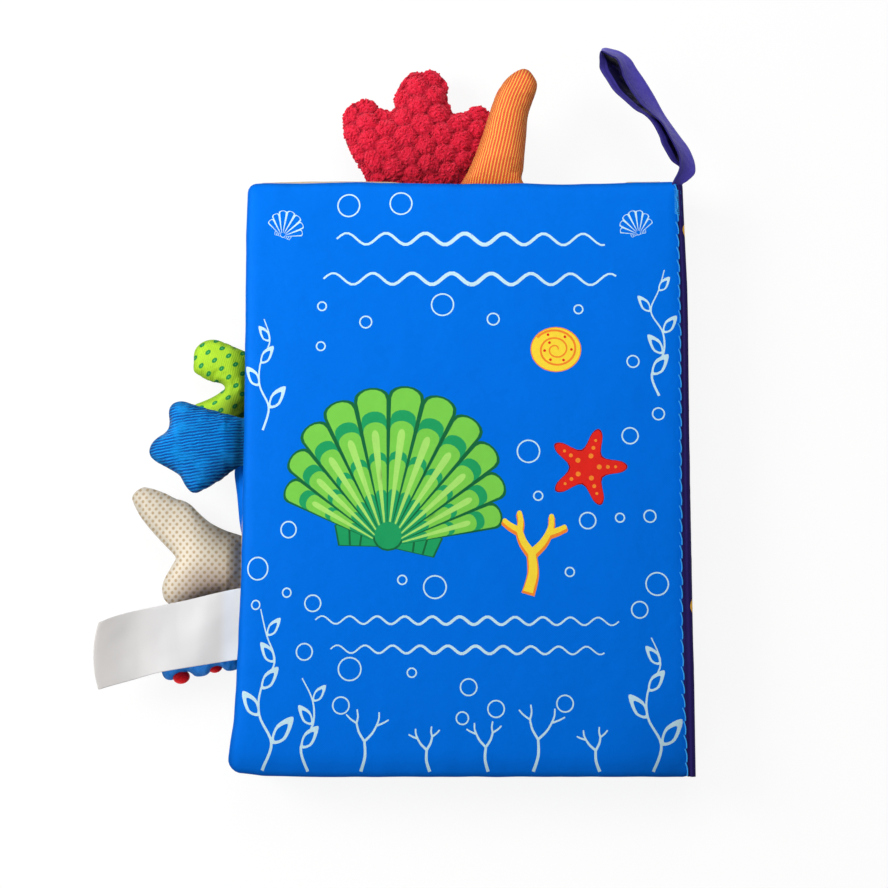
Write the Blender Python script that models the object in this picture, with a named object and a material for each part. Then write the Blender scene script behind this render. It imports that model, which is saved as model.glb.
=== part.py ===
"""Crinkle cloth book, closed and lying on its front cover.

Five padded leaves are sewn along one spine. Six stuffed tails, a care label and a strap loop
are sewn into their edges. Metres, +Z up, +Y towards the book's head and +X towards the spine.
The origin is the centre of the front cover's flat underside.
"""

import math

import bmesh
import bpy
from mathutils import Vector
from mathutils.geometry import delaunay_2d_cdt

# The leaves
COVER_WIDTH = 0.1750
COVER_HEIGHT = 0.2300
LEAF_THICKNESS = 0.0050
LEAF_GAP = 0.0006
CORNER_RADIUS = 0.0050
LEAST_CORNER_RADIUS = 0.0010
EDGE_ROLL = 0.0080
CROWN_HEIGHT = 0.0016
CLOTH = 0.0008
FILM_THICKNESS = 0.0002
WADDING_INSET = 0.0015

# Room between pieces that are sewn or laid together
CLEARANCE = 0.0003

# The spine
SPINE_STRIP_DEPTH = 0.0016
SPINE_BULGE = 0.0010
SPINE_END_TAPER = 0.0060
SPINE_END_DEPTH_SHARE = 0.55
SPINE_HEIGHT_SHARES = (1.0, 0.66, 0.33, 0.0)
THREAD_RADIUS = 0.00025
THREAD_RISE = 0.0016
THREAD_SIDES = 6
HINGE_CLEARANCE = 0.00035

# The tails' cloth, and the seam that holds them
TAIL_CLOTH = 0.0006
TAIL_SEAM_GAP = 0.0008
TAIL_MOUTH = 0.0018
TAIL_NECK = 0.0060
TAIL_MESH_STEP = 0.0052
GRID_INSET_SHARE = 0.25
GRID_SHIFT_SHARE = 0.50

# The care label
LABEL_LENGTH = 0.0560
LABEL_WIDTH = 0.0265
LABEL_SLANT = 0.0130
LABEL_RISE = 0.0020
LABEL_PLACE_SHARE = -0.2548
LABEL_PLY = 0.0003
LABEL_FOLD_GAP = 0.0003
LABEL_STEPS = 6

# The strap loop
STRAP_LENGTH = 0.0625
STRAP_RIBBON_WIDTH = 0.0090
STRAP_PLY = 0.0008
STRAP_GAP = 0.0068
STRAP_ROOT_GAP = 0.0012
STRAP_SPINE_INSET = 0.0045
STRAP_LEAN = math.radians(16)
STRAP_HEADING = math.radians(27)
STRAP_STAND_OFF = 0.00076
STRAP_ROOT_WIDTH = 0.0010
STRAP_SPREAD_LENGTH = 0.0170
STRAP_TURN_STEPS = 6

CORNER_STEPS = 4
ROLL_SHARES = (0.0, 0.12, 0.40, 1.0)
CROWN_INSET_SHARES = (0.22, 0.50, 0.82)
STRAP_SWELL_SHARES = ((0.0, 0.0), (0.16, 0.12), (0.34, 0.42), (0.52, 0.78), (0.68, 1.0), (0.82, 1.0))

LEAVES = ("front_cover", "leaf_1", "leaf_2", "leaf_3", "back_cover")
PANEL_NAMES = {
    "front_cover": ("front_cover_outer_panel", "front_cover_inner_panel"),
    "leaf_1": ("leaf_1_lower_page", "leaf_1_upper_page"),
    "leaf_2": ("leaf_2_lower_page", "leaf_2_upper_page"),
    "leaf_3": ("leaf_3_lower_page", "leaf_3_upper_page"),
    "back_cover": ("back_cover_inner_panel", "back_cover_outer_panel"),
}

# Each tail: the leaf and the edge that hold it, its place as a share of that edge from its
# middle, its width across, its length, its thickness and the rise of its tip, then its outline
# in shares of width and length, walked from one end of its seam round to the other.
TAILS = {
    "bobble_fan_tail": {
        "leaf": "leaf_2", "edge": "head", "place_share": -0.1114, "width": 0.0600,
        "length": 0.0530, "thickness": 0.0120, "rise": -0.0035, "color": (0.72, 0.01, 0.03, 1),
        "outline_shares": (
            (-0.32, 0.0), (-0.36, 0.16), (-0.42, 0.36), (-0.49, 0.56), (-0.47, 0.67),
            (-0.38, 0.74), (-0.27, 0.70), (-0.19, 0.66), (-0.15, 0.79), (-0.10, 0.93),
            (0.0, 1.0), (0.10, 0.93), (0.15, 0.79), (0.19, 0.66), (0.27, 0.70),
            (0.38, 0.74), (0.47, 0.67), (0.49, 0.56), (0.42, 0.36), (0.36, 0.16), (0.32, 0.0),
        ),
    },
    "striped_curved_tail": {
        "leaf": "leaf_3", "edge": "head", "place_share": 0.0674, "width": 0.0264,
        "length": 0.0480, "thickness": 0.0115, "rise": 0.0090, "color": (0.82, 0.20, 0.04, 1),
        "outline_shares": (
            (-0.50, 0.0), (-0.40, 0.12), (-0.31, 0.26), (-0.16, 0.48), (-0.01, 0.70),
            (0.12, 0.84), (0.24, 0.93), (0.40, 0.99), (0.54, 0.97), (0.63, 0.88),
            (0.62, 0.76), (0.56, 0.62), (0.49, 0.42), (0.46, 0.22), (0.46, 0.10), (0.50, 0.0),
        ),
    },
    "dotted_forked_tail": {
        "leaf": "leaf_1", "edge": "fore", "place_share": 0.1587, "width": 0.0385,
        "length": 0.0215, "thickness": 0.0080, "rise": -0.0010, "color": (0.42, 0.72, 0.02, 1),
        "outline_shares": (
            (-0.38, 0.0), (-0.43, 0.28), (-0.49, 0.55), (-0.47, 0.84), (-0.36, 1.0),
            (-0.20, 0.98), (-0.10, 0.72), (-0.04, 0.42), (0.04, 0.42), (0.10, 0.72),
            (0.20, 0.98), (0.36, 1.0), (0.47, 0.84), (0.49, 0.55), (0.43, 0.28), (0.38, 0.0),
        ),
    },
    "ribbed_star_tail": {
        "leaf": "leaf_3", "edge": "fore", "place_share": 0.0539, "width": 0.0360,
        "length": 0.0350, "thickness": 0.0100, "rise": 0.0040, "color": (0.01, 0.22, 0.75, 1),
        "outline_shares": (
            (-0.26, 0.0), (-0.32, 0.14), (-0.44, 0.32), (-0.55, 0.48), (-0.52, 0.58),
            (-0.38, 0.66), (-0.25, 0.80), (-0.18, 0.95), (-0.08, 1.0), (0.03, 0.96),
            (0.12, 0.86), (0.20, 0.80), (0.34, 0.80), (0.43, 0.73), (0.44, 0.62),
            (0.37, 0.40), (0.30, 0.18), (0.26, 0.0),
        ),
    },
    "spotted_fluke_tail": {
        "leaf": "leaf_2", "edge": "fore", "place_share": -0.1478, "width": 0.0520,
        "length": 0.0440, "thickness": 0.0090, "rise": -0.0030, "color": (0.80, 0.72, 0.55, 1),
        "outline_shares": (
            (-0.21, 0.0), (-0.28, 0.20), (-0.36, 0.40), (-0.42, 0.56), (-0.38, 0.66),
            (-0.25, 0.70), (-0.12, 0.66), (-0.02, 0.58), (0.06, 0.62), (0.20, 0.77),
            (0.40, 0.95), (0.50, 1.0), (0.57, 0.89), (0.50, 0.68), (0.42, 0.44),
            (0.28, 0.22), (0.21, 0.0),
        ),
    },
    "sucker_tentacle_tail": {
        "leaf": "leaf_1", "edge": "fore", "place_share": -0.2922, "width": 0.0185,
        "length": 0.0310, "thickness": 0.0090, "rise": -0.0020, "color": (0.02, 0.15, 0.52, 1),
        "outline_shares": (
            (-0.46, 0.0), (-0.50, 0.20), (-0.54, 0.42), (-0.66, 0.62), (-0.82, 0.76),
            (-0.84, 0.88), (-0.68, 0.98), (-0.36, 1.0), (-0.04, 0.92), (0.22, 0.74),
            (0.38, 0.48), (0.44, 0.22), (0.46, 0.0),
        ),
    },
}

COVER_BLUE = (0.0, 0.18, 0.80, 1)
INNER_BLUE = (0.01, 0.20, 0.72, 1)
SPINE_NAVY = (0.03, 0.02, 0.10, 1)
THREAD_BLUE = (0.10, 0.45, 0.80, 1)
WADDING_WHITE = (0.85, 0.85, 0.83, 1)
FILM_CLEAR = (0.80, 0.84, 0.86, 1)
LABEL_WHITE = (0.86, 0.86, 0.86, 1)
STRAP_PURPLE = (0.07, 0.05, 0.30, 1)

PANEL_ROUGHNESS = 0.55
TAIL_ROUGHNESS = 0.70
WADDING_ROUGHNESS = 0.95
FILM_ROUGHNESS = 0.20
THREAD_ROUGHNESS = 0.60
SATIN_ROUGHNESS = 0.35
SHARP_EDGE = math.radians(50)

CAVITY_HALF = LEAF_THICKNESS / 2 - CLOTH
LEAF_PITCH = LEAF_THICKNESS + LEAF_GAP
BOOK_THICKNESS = len(LEAVES) * LEAF_PITCH - LEAF_GAP
LEAF_EDGE_X = -COVER_WIDTH / 2
HEAD_EDGE_Y = COVER_HEIGHT / 2
SHEET_SPINE_X = COVER_WIDTH / 2 - SPINE_STRIP_DEPTH / 2
SHEET_WIDTH = SHEET_SPINE_X - LEAF_EDGE_X
SHEET_CENTRE_X = (SHEET_SPINE_X + LEAF_EDGE_X) / 2
SAME_PLACE = TAIL_SEAM_GAP / 20


def clear_scene():
    for thing in list(bpy.data.objects):
        bpy.data.objects.remove(thing, do_unlink=True)


def material(name, color, roughness):
    made = bpy.data.materials.new(name)
    made.use_nodes = True
    shader = made.node_tree.nodes["Principled BSDF"]
    shader.inputs["Base Color"].default_value = color
    shader.inputs["Roughness"].default_value = roughness
    shader.inputs["Metallic"].default_value = 0
    made.diffuse_color = color
    return made


def empty_at(name, place, parent):
    """A joint's axis, held by the body that it moves on."""
    made = bpy.data.objects.new(name, None)
    bpy.context.collection.objects.link(made)
    made.parent = parent
    made.location = Vector(place) - (parent.matrix_world.translation if parent else Vector())
    bpy.context.view_layer.update()
    return made


def object_from(name, mesh_editor, parent, color, roughness, turn=0.0, at_parent=False):
    """One named node. Its points are in world places, or in its parent's own axes."""
    bmesh.ops.triangulate(mesh_editor, faces=mesh_editor.faces)
    bmesh.ops.recalc_face_normals(mesh_editor, faces=mesh_editor.faces)
    mesh = bpy.data.meshes.new(name)
    mesh_editor.to_mesh(mesh)
    mesh_editor.free()
    made = bpy.data.objects.new(name, mesh)
    bpy.context.collection.objects.link(made)
    made.data.materials.append(material(name, color, roughness))
    mesh.shade_smooth()
    mesh.set_sharp_from_angle(angle=SHARP_EDGE)
    made.parent = parent
    if parent and not at_parent:
        made.location = -parent.matrix_world.translation
    made.rotation_euler = (0, 0, turn)
    return made


def loft(loops):
    """A closed body through loops of equal length, capped at the first and the last."""
    editor = bmesh.new()
    rows = [[editor.verts.new(point) for point in loop] for loop in loops]
    for one, other in zip(rows, rows[1:]):
        for i in range(len(one)):
            j = (i + 1) % len(one)
            editor.faces.new((one[i], one[j], other[j], other[i]))
    editor.faces.new(rows[0][::-1])
    editor.faces.new(rows[-1])
    return editor


def roll(inset):
    """How much of its full height a rolled edge has reached, this far in from the rim."""
    short = 1 - min(1.0, inset / EDGE_ROLL)
    return math.sqrt(1 - short * short)


def rounded_rectangle(inset, height):
    """A leaf's outline, drawn in by the inset, as a loop at one height."""
    half_width = SHEET_WIDTH / 2 - inset
    half_height = COVER_HEIGHT / 2 - inset
    radius = max(CORNER_RADIUS - inset, LEAST_CORNER_RADIUS)
    points = []
    for quarter, (side_x, side_y) in enumerate(((1, 1), (-1, 1), (-1, -1), (1, -1))):
        for step in range(CORNER_STEPS):
            angle = (quarter + step / (CORNER_STEPS - 1)) * math.pi / 2
            points.append((
                SHEET_CENTRE_X + side_x * (half_width - radius) + radius * math.cos(angle),
                side_y * (half_height - radius) + radius * math.sin(angle),
                height,
            ))
    return points


def crown_rings(crown):
    """Insets past the rolled edge, with the crown's height at each."""
    if not crown:
        return []
    rings = []
    for share in CROWN_INSET_SHARES:
        inset = EDGE_ROLL + share * (SHEET_WIDTH / 2 - EDGE_ROLL)
        rings.append((inset, crown * math.sin(share * math.pi / 2)))
    return rings


def panel_height(inset, side, middle, outward):
    """The height of a panel's inner or outer face, this far in from the rim."""
    inner = CLEARANCE / 2 + (CAVITY_HALF - CLEARANCE / 2) * roll(inset)
    return middle + side * (inner + (CLOTH if outward else 0))


def panel(middle, side, crown):
    """One cloth face of a leaf, a shallow dish whose rim lies on the seam."""
    outer = [(share * EDGE_ROLL, 0) for share in ROLL_SHARES] + crown_rings(crown)
    loops = [
        rounded_rectangle(inset, panel_height(inset, side, middle, True) + side * extra)
        for inset, extra in reversed(outer)
    ]
    loops += [
        rounded_rectangle(inset, panel_height(inset, side, middle, False) + side * extra)
        for inset, extra in outer
    ]
    return loft(loops)


def wadding(middle, crown):
    """The pad, which fills the cavity above the film."""
    floor = middle - CAVITY_HALF + 2 * CLEARANCE + FILM_THICKNESS
    insets = [(WADDING_INSET, 0)]
    insets += [(share * EDGE_ROLL, 0) for share in ROLL_SHARES if share * EDGE_ROLL > WADDING_INSET]
    insets += crown_rings(crown)
    loops = []
    for inset, extra in reversed(insets):
        loops.append(rounded_rectangle(
            inset, panel_height(inset, 1, middle, False) + extra - CLEARANCE))
    for inset, _ in insets:
        low = panel_height(inset, -1, middle, False) + CLEARANCE
        loops.append(rounded_rectangle(inset, max(floor, low)))
    return loft(loops)


def crinkle_film(middle):
    low = middle - CAVITY_HALF + CLEARANCE
    return loft([
        rounded_rectangle(EDGE_ROLL, low), rounded_rectangle(EDGE_ROLL, low + FILM_THICKNESS)])


def spine_face_x(height):
    """The spine's outer face, which bulges most at half the book's thickness."""
    share = (height - BOOK_THICKNESS / 2) / (BOOK_THICKNESS / 2)
    inner = SHEET_SPINE_X + CLEARANCE
    return inner + SPINE_STRIP_DEPTH + SPINE_BULGE * (1 - share * share)


def spine_strip(low):
    """The part of the spine's cloth that is sewn to one leaf."""
    inner = SHEET_SPINE_X + CLEARANCE
    loops = []
    for share, end in ((0, -1), (1, -1), (1, 1), (0, 1)):
        y = end * (COVER_HEIGHT / 2 - LEAST_CORNER_RADIUS - share * SPINE_END_TAPER)
        depth_share = 1 if share else SPINE_END_DEPTH_SHARE
        section = [(inner, low), (inner, low + LEAF_THICKNESS)]
        for height_share in SPINE_HEIGHT_SHARES:
            height = low + height_share * LEAF_THICKNESS
            section.append((inner + (spine_face_x(height) - inner) * depth_share, height))
        loops.append([(x, y, z) for x, z in section])
    return loft(loops)


def seam_thread(middle):
    """The line of thread that joins a leaf to its strip of the spine."""
    x = SHEET_SPINE_X + CLEARANCE - THREAD_RADIUS * 2
    z = middle + THREAD_RISE
    half_length = COVER_HEIGHT / 2 - CORNER_RADIUS
    loops = []
    for y in (-half_length, half_length):
        loops.append([
            (x + THREAD_RADIUS * math.cos(math.tau * i / THREAD_SIDES), y,
             z + THREAD_RADIUS * math.sin(math.tau * i / THREAD_SIDES))
            for i in range(THREAD_SIDES)
        ])
    return loft(loops)


def distance_to_outline(point, outline):
    """How far a point lies from the nearest side of a closed outline."""
    best = math.inf
    for i, start in enumerate(outline):
        end = outline[(i + 1) % len(outline)]
        side = end - start
        along = max(0.0, min(1.0, (point - start).dot(side) / side.length_squared))
        best = min(best, (point - start - along * side).length)
    return best


def subdivided(corners):
    """The outline with points no further apart than the mesh step. Its last side is the seam."""
    points = []
    for i, start in enumerate(corners):
        end = corners[(i + 1) % len(corners)]
        steps = max(1, math.ceil((end - start).length / TAIL_MESH_STEP))
        points += [start.lerp(end, step / steps) for step in range(steps)]
    return points


def inner_points(outline):
    """Points on a grid inside the outline, none of them close to it."""
    low_x = min(point.x for point in outline)
    high_x = max(point.x for point in outline)
    low_y = min(point.y for point in outline)
    high_y = max(point.y for point in outline)
    rows = math.ceil((high_y - low_y) / TAIL_MESH_STEP)
    columns = math.ceil((high_x - low_x) / TAIL_MESH_STEP)
    found = []
    for row in range(1, rows):
        for column in range(columns):
            shift = GRID_INSET_SHARE + GRID_SHIFT_SHARE * (row % 2)
            point = Vector((
                low_x + (column + shift) * (high_x - low_x) / columns,
                low_y + row * (high_y - low_y) / rows,
            ))
            if inside(point, outline) and distance_to_outline(point, outline) > TAIL_MESH_STEP / 2:
                found.append(point)
    return found


def inside(point, outline):
    crossings = 0
    for i, start in enumerate(outline):
        end = outline[(i + 1) % len(outline)]
        if (start.y > point.y) != (end.y > point.y):
            across = start.x + (point.y - start.y) / (end.y - start.y) * (end.x - start.x)
            crossings += across > point.x
    return crossings % 2 == 1


def filled_outline(outline):
    """Triangles across an outline, with a point on each one that would span it rim to rim."""
    flat = outline + inner_points(outline)
    rim = list(range(len(outline)))
    while True:
        verts, edges, faces, *_ = delaunay_2d_cdt(flat, [], [rim], 1, 0)
        distances = [distance_to_outline(point, outline) for point in verts]
        middles = []
        for one, other in edges:
            middle = (verts[one] + verts[other]) / 2
            on_rim = distances[one] < SAME_PLACE and distances[other] < SAME_PLACE
            if on_rim and distance_to_outline(middle, outline) > SAME_PLACE:
                middles.append(middle)
        if not middles:
            return verts, faces, distances
        flat = flat + middles


def tail_surface(tail, open_mouth):
    """A stuffed tail's outer face about its seam's axis, pinched at the seam and swelling away."""
    lift = TAIL_SEAM_GAP / 2
    corners = [
        Vector((across * tail["width"], lift + out * tail["length"]))
        for across, out in tail["outline_shares"]
    ]
    verts, faces, distances = filled_outline(subdivided(corners))
    reach = max(distances)
    editor = bmesh.new()
    sides = {}
    for side in (1, -1):
        made = []
        for point, distance in zip(verts, distances):
            share = min(1.0, distance / reach)
            out = point.y - lift
            neck = math.sqrt(max(0.0, min(1.0, out / TAIL_NECK)))
            swell = neck * tail["thickness"] / 2 * math.sqrt(1 - (1 - share) ** 2)
            end = min((point - corners[0]).length, (point - corners[-1]).length)
            in_mouth = open_mouth and out < SAME_PLACE < end
            slit = TAIL_MOUTH / 2 if in_mouth else 0
            centre = tail["rise"] * (out / tail["length"]) ** 2
            if side == -1 and distance < SAME_PLACE and not slit:
                made.append(sides[1][len(made)])
            else:
                made.append(editor.verts.new((point.x, point.y, centre + side * (swell + slit))))
        sides[side] = made
        for face in faces:
            editor.faces.new([made[i] for i in (face if side == 1 else face[::-1])])
    bmesh.ops.recalc_face_normals(editor, faces=editor.faces)
    return editor


def inward(editor, depth):
    """Each point's place when its face is moved this deep into the body."""
    editor.normal_update()
    places = {}
    for vert in editor.verts:
        place = vert.co - vert.normal * vert.calc_shell_factor() * depth
        if vert.is_boundary:
            place.y = vert.co.y
        places[vert] = place
    return places


def tail_skin(tail):
    """The tail's cloth, open where its mouth is sewn into the leaf."""
    editor = tail_surface(tail, True)
    places = inward(editor, TAIL_CLOTH)
    outer_faces = list(editor.faces)
    rim_edges = [edge for edge in editor.edges if edge.is_boundary]
    twins = {vert: editor.verts.new(place) for vert, place in places.items()}
    for face in outer_faces:
        editor.faces.new([twins[vert] for vert in reversed(face.verts)])
    for edge in rim_edges:
        one, other = edge.verts
        editor.faces.new((one, other, twins[other], twins[one]))
    return editor


def tail_filling(tail):
    """The stuffing, which stands off the cloth by the clearance."""
    editor = tail_surface(tail, False)
    places = inward(editor, TAIL_CLOTH + CLEARANCE)
    for vert, place in places.items():
        vert.co = place
    return editor


def seam_place(leaf, edge, along_share):
    """The point on a leaf's seam where a tail's axis passes."""
    middle = LEAVES.index(leaf) * LEAF_PITCH + LEAF_THICKNESS / 2
    if edge == "head":
        return along_share * COVER_WIDTH, HEAD_EDGE_Y + TAIL_SEAM_GAP / 2, middle
    return LEAF_EDGE_X - TAIL_SEAM_GAP / 2, along_share * COVER_HEIGHT, middle


def care_label():
    """A ribbon folded back on itself, with both ends in the seam."""
    half_fold = (LABEL_FOLD_GAP + LABEL_PLY) / 2
    straight = LABEL_LENGTH - half_fold - LABEL_PLY / 2

    def layer(offset):
        row = []
        for step in range(LABEL_STEPS + 1):
            share = step / LABEL_STEPS
            arch = LABEL_RISE * math.sin(share * math.pi)
            row.append(Vector((TAIL_SEAM_GAP / 2 + share * straight, arch + offset)))
        return row

    fold = Vector((TAIL_SEAM_GAP / 2 + straight + half_fold, 0))
    centre_line = layer(half_fold) + [fold] + layer(-half_fold)[::-1]
    loops = []
    for i, point in enumerate(centre_line):
        before = centre_line[max(0, i - 1)]
        after = centre_line[min(len(centre_line) - 1, i + 1)]
        along = (after - before).normalized()
        outward = Vector((-along.y, along.x)) * LABEL_PLY / 2
        slant = -LABEL_SLANT * point.x / LABEL_LENGTH
        section = []
        for side, face in ((-0.5, -1), (0.5, -1), (0.5, 1), (-0.5, 1)):
            out, up = point + outward * face
            section.append((side * LABEL_WIDTH + slant, out, up))
        loops.append(section)
    return loft(loops)


def strap_centre_line():
    """The ribbon's path at half its height: out, round the end and back, in its own axes."""
    top_inset = STRAP_RIBBON_WIDTH / 2 * math.sin(STRAP_LEAN)
    root_half = (STRAP_ROOT_GAP + STRAP_PLY) / 2
    widest_half = STRAP_GAP / 2 + top_inset + STRAP_PLY / 2
    straight = STRAP_LENGTH - widest_half
    limb = [
        Vector((-root_half - (widest_half - root_half) * swell, out_share * straight))
        for out_share, swell in STRAP_SWELL_SHARES
    ]
    bend = limb[-1]
    round_end = []
    for step in range(1, STRAP_TURN_STEPS):
        angle = math.pi * step / STRAP_TURN_STEPS
        round_end.append(Vector((
            bend.x * math.cos(angle), bend.y + (STRAP_LENGTH - bend.y) * math.sin(angle))))
    return limb + round_end + [Vector((-point.x, point.y)) for point in reversed(limb)]


def strap_ribbon():
    """A satin ribbon sewn down by both ends, its sides leaning in to the top."""
    centre_line = strap_centre_line()
    cos_turn, sin_turn = math.cos(STRAP_HEADING), math.sin(STRAP_HEADING)
    loops = []
    for i, point in enumerate(centre_line):
        before = centre_line[max(0, i - 1)]
        after = centre_line[min(len(centre_line) - 1, i + 1)]
        along = (after - before).normalized()
        outward = Vector((-along.y, along.x))
        spread = min(1.0, point.y / STRAP_SPREAD_LENGTH)
        half_width = (STRAP_ROOT_WIDTH + (STRAP_RIBBON_WIDTH - STRAP_ROOT_WIDTH) * spread) / 2
        section = []
        for side, up in ((1, -1), (1, 1), (-1, 1), (-1, -1)):
            inset = side * STRAP_PLY / 2 - up * half_width * math.sin(STRAP_LEAN) * spread
            flat = point + outward * inset
            section.append((
                flat.x * cos_turn - flat.y * sin_turn,
                flat.x * sin_turn + flat.y * cos_turn + STRAP_STAND_OFF,
                up * half_width * math.cos(STRAP_LEAN),
            ))
        loops.append(section)
    return loft(loops)


def build():
    clear_scene()
    parent = None
    holders = {}
    for number, leaf in enumerate(LEAVES):
        low = number * LEAF_PITCH
        middle = low + LEAF_THICKNESS / 2
        if number:
            hinge_height = low - LEAF_GAP / 2
            place = (spine_face_x(hinge_height) + HINGE_CLEARANCE, 0, hinge_height)
            parent = empty_at(leaf + "_opening_axis", place, parent)
        holders[leaf] = parent
        is_cover = leaf in (LEAVES[0], LEAVES[-1])
        lower_name, upper_name = PANEL_NAMES[leaf]
        crown = CROWN_HEIGHT if leaf == LEAVES[-1] else 0
        blue = COVER_BLUE if is_cover else INNER_BLUE
        object_from(lower_name, panel(middle, -1, 0), parent, blue, PANEL_ROUGHNESS)
        object_from(upper_name, panel(middle, 1, crown), parent, blue, PANEL_ROUGHNESS)
        object_from(
            leaf + "_wadding", wadding(middle, crown), parent, WADDING_WHITE, WADDING_ROUGHNESS)
        object_from(
            leaf + "_crinkle_film", crinkle_film(middle), parent, FILM_CLEAR, FILM_ROUGHNESS)
        object_from(
            leaf + "_spine_strip", spine_strip(low), parent, SPINE_NAVY, PANEL_ROUGHNESS)
        object_from(
            leaf + "_seam_thread", seam_thread(middle), parent, THREAD_BLUE, THREAD_ROUGHNESS)
    for name, tail in TAILS.items():
        place = seam_place(tail["leaf"], tail["edge"], tail["place_share"])
        axis = empty_at(name + "_seam_axis", place, holders[tail["leaf"]])
        turn = 0.0 if tail["edge"] == "head" else math.pi / 2
        object_from(
            name + "_skin", tail_skin(tail), axis, tail["color"], TAIL_ROUGHNESS, turn, True)
        object_from(
            name + "_filling", tail_filling(tail), axis, WADDING_WHITE, WADDING_ROUGHNESS,
            turn, True)
    label_leaf = "leaf_3"
    place = seam_place(label_leaf, "fore", LABEL_PLACE_SHARE)
    axis = empty_at("care_label_seam_axis", place, holders[label_leaf])
    object_from(
        "care_label", care_label(), axis, LABEL_WHITE, SATIN_ROUGHNESS, math.pi / 2, True)
    strap_leaf = "back_cover"
    place = seam_place(strap_leaf, "head", 0.5 - STRAP_SPINE_INSET / COVER_WIDTH)
    axis = empty_at("strap_loop_seam_axis", place, holders[strap_leaf])
    object_from("strap_loop", strap_ribbon(), axis, STRAP_PURPLE, SATIN_ROUGHNESS, 0.0, True)


build()
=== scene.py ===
# %% [markdown]
# # A crinkle cloth book, dressed for its photograph
#
# The real book is five padded leaves sewn along one spine, with stuffed tails, a label and a strap
# caught in the seams. The CAD model gives every piece its place and its motion. This script gives
# each piece its cloth: its print, its weave, its stitches and the way it puffs and creases.
# %% The fixed frame
import math

import bmesh
import bpy
import numpy as np
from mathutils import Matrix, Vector, noise
from mathutils.geometry import delaunay_2d_cdt
from mathutils.kdtree import KDTree


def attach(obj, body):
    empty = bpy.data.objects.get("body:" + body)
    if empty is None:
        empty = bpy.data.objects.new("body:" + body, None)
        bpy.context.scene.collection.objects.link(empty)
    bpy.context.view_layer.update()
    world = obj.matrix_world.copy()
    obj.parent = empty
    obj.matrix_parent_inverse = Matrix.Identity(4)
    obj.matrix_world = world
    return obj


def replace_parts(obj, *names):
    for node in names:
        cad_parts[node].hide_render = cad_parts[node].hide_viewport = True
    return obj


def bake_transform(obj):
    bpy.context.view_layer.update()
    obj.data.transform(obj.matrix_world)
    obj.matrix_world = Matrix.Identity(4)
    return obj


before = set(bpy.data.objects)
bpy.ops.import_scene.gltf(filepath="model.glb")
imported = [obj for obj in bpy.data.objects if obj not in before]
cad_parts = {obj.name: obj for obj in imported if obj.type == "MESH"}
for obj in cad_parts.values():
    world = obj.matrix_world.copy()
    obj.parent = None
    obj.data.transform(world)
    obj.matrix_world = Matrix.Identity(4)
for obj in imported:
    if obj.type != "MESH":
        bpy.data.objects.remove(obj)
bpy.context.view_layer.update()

MM = 0.001
scene = bpy.context.scene
print("nodes in the frame:", len(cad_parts))

# %% [markdown]
# ## Camera and light
#
# The photograph looks down on the book from about 0.6 m, tipped a little towards its foot. The lens
# is written as the photograph's own picture width in pixels. The main light is a wide soft lamp from
# the left. Weaker ones at the head and the foot open the shadows there, and a faint one overhead
# fills the right side, so that a colour renders about as it is written.
# %% Camera
PICTURE_WIDTH = 888
FOCAL_PIXELS = 1544.8
CAMERA_PLACE = (0.00163, -0.06885, 0.61957)
CAMERA_TURN = (0.133909, 0.014325, 0.005753)

camera_data = bpy.data.cameras.new("camera")
camera = bpy.data.objects.new("camera", camera_data)
scene.collection.objects.link(camera)
camera.location = CAMERA_PLACE
camera.rotation_euler = CAMERA_TURN
camera_data.sensor_width = 36
camera_data.lens = FOCAL_PIXELS / PICTURE_WIDTH * camera_data.sensor_width
camera_data.clip_start = 0.01
scene.camera = camera
scene.view_settings.view_transform = "Standard"
print("lens in mm:", round(camera_data.lens, 1))

# %% Lamps
# Each lamp: its place and its width in metres, its power in watts and its colour.
LAMPS = {
    "key_lamp": ((-0.60, 0.16, 0.50), 0.40, 4.9, (1.0, 0.985, 0.96)),
    "head_lamp": ((0.0, 0.60, 0.62), 0.60, 2.5, (1.0, 1.0, 1.0)),
    "foot_lamp": ((-0.34, -0.62, 0.34), 0.50, 1.3, (1.0, 1.0, 1.0)),
    "fill_lamp": ((0.45, 0.10, 0.95), 1.0, 0.7, (0.95, 0.975, 1.0)),
}
for name, (place, width, power, colour) in LAMPS.items():
    lamp = bpy.data.lights.new(name, "AREA")
    lamp.shape = "DISK"
    lamp.size = width
    lamp.energy = power
    lamp.color = colour
    holder = bpy.data.objects.new(name, lamp)
    holder.location = place
    holder.rotation_euler = (-Vector(place)).to_track_quat("-Z", "Y").to_euler()
    scene.collection.objects.link(holder)
print("lamps:", len(LAMPS))

# %% Node helpers, for every tree below


def feed(tree, socket, value):
    """Links an output to a socket, or sets the socket's own value."""
    if isinstance(value, bpy.types.NodeSocket):
        tree.links.new(value, socket)
    elif socket.type == "RGBA":
        socket.default_value = (*value[:3], 1)
    else:
        socket.default_value = value


def put(tree, kind, inputs=(), **settings):
    """Adds a node. An input is a value, or the output socket that feeds it."""
    made = tree.nodes.new(kind)
    for key, value in settings.items():
        setattr(made, key, value)
    for key, value in dict(inputs).items():
        feed(tree, made.inputs[key], value)
    return made


def maths(tree, operation, *values):
    """The result of a Math node, in a shader or a geometry tree."""
    return put(tree, "ShaderNodeMath", enumerate(values), operation=operation).outputs[0]


def ramp(tree, value, start, end, low=0.0, high=1.0, smooth=True):
    """Goes from low to high while the value goes from start to end."""
    return put(tree, "ShaderNodeMapRange", {
        "Value": value, "From Min": start, "From Max": end, "To Min": low, "To Max": high},
        interpolation_type="SMOOTHSTEP" if smooth else "LINEAR").outputs[0]


def cloud(tree, place, scale, detail=2.0):
    """A slow noise from 0 to 1."""
    return put(tree, "ShaderNodeTexNoise", {
        "Vector": place, "Scale": scale, "Detail": detail}).outputs["Fac"]


# %% Mesh helpers


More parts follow.
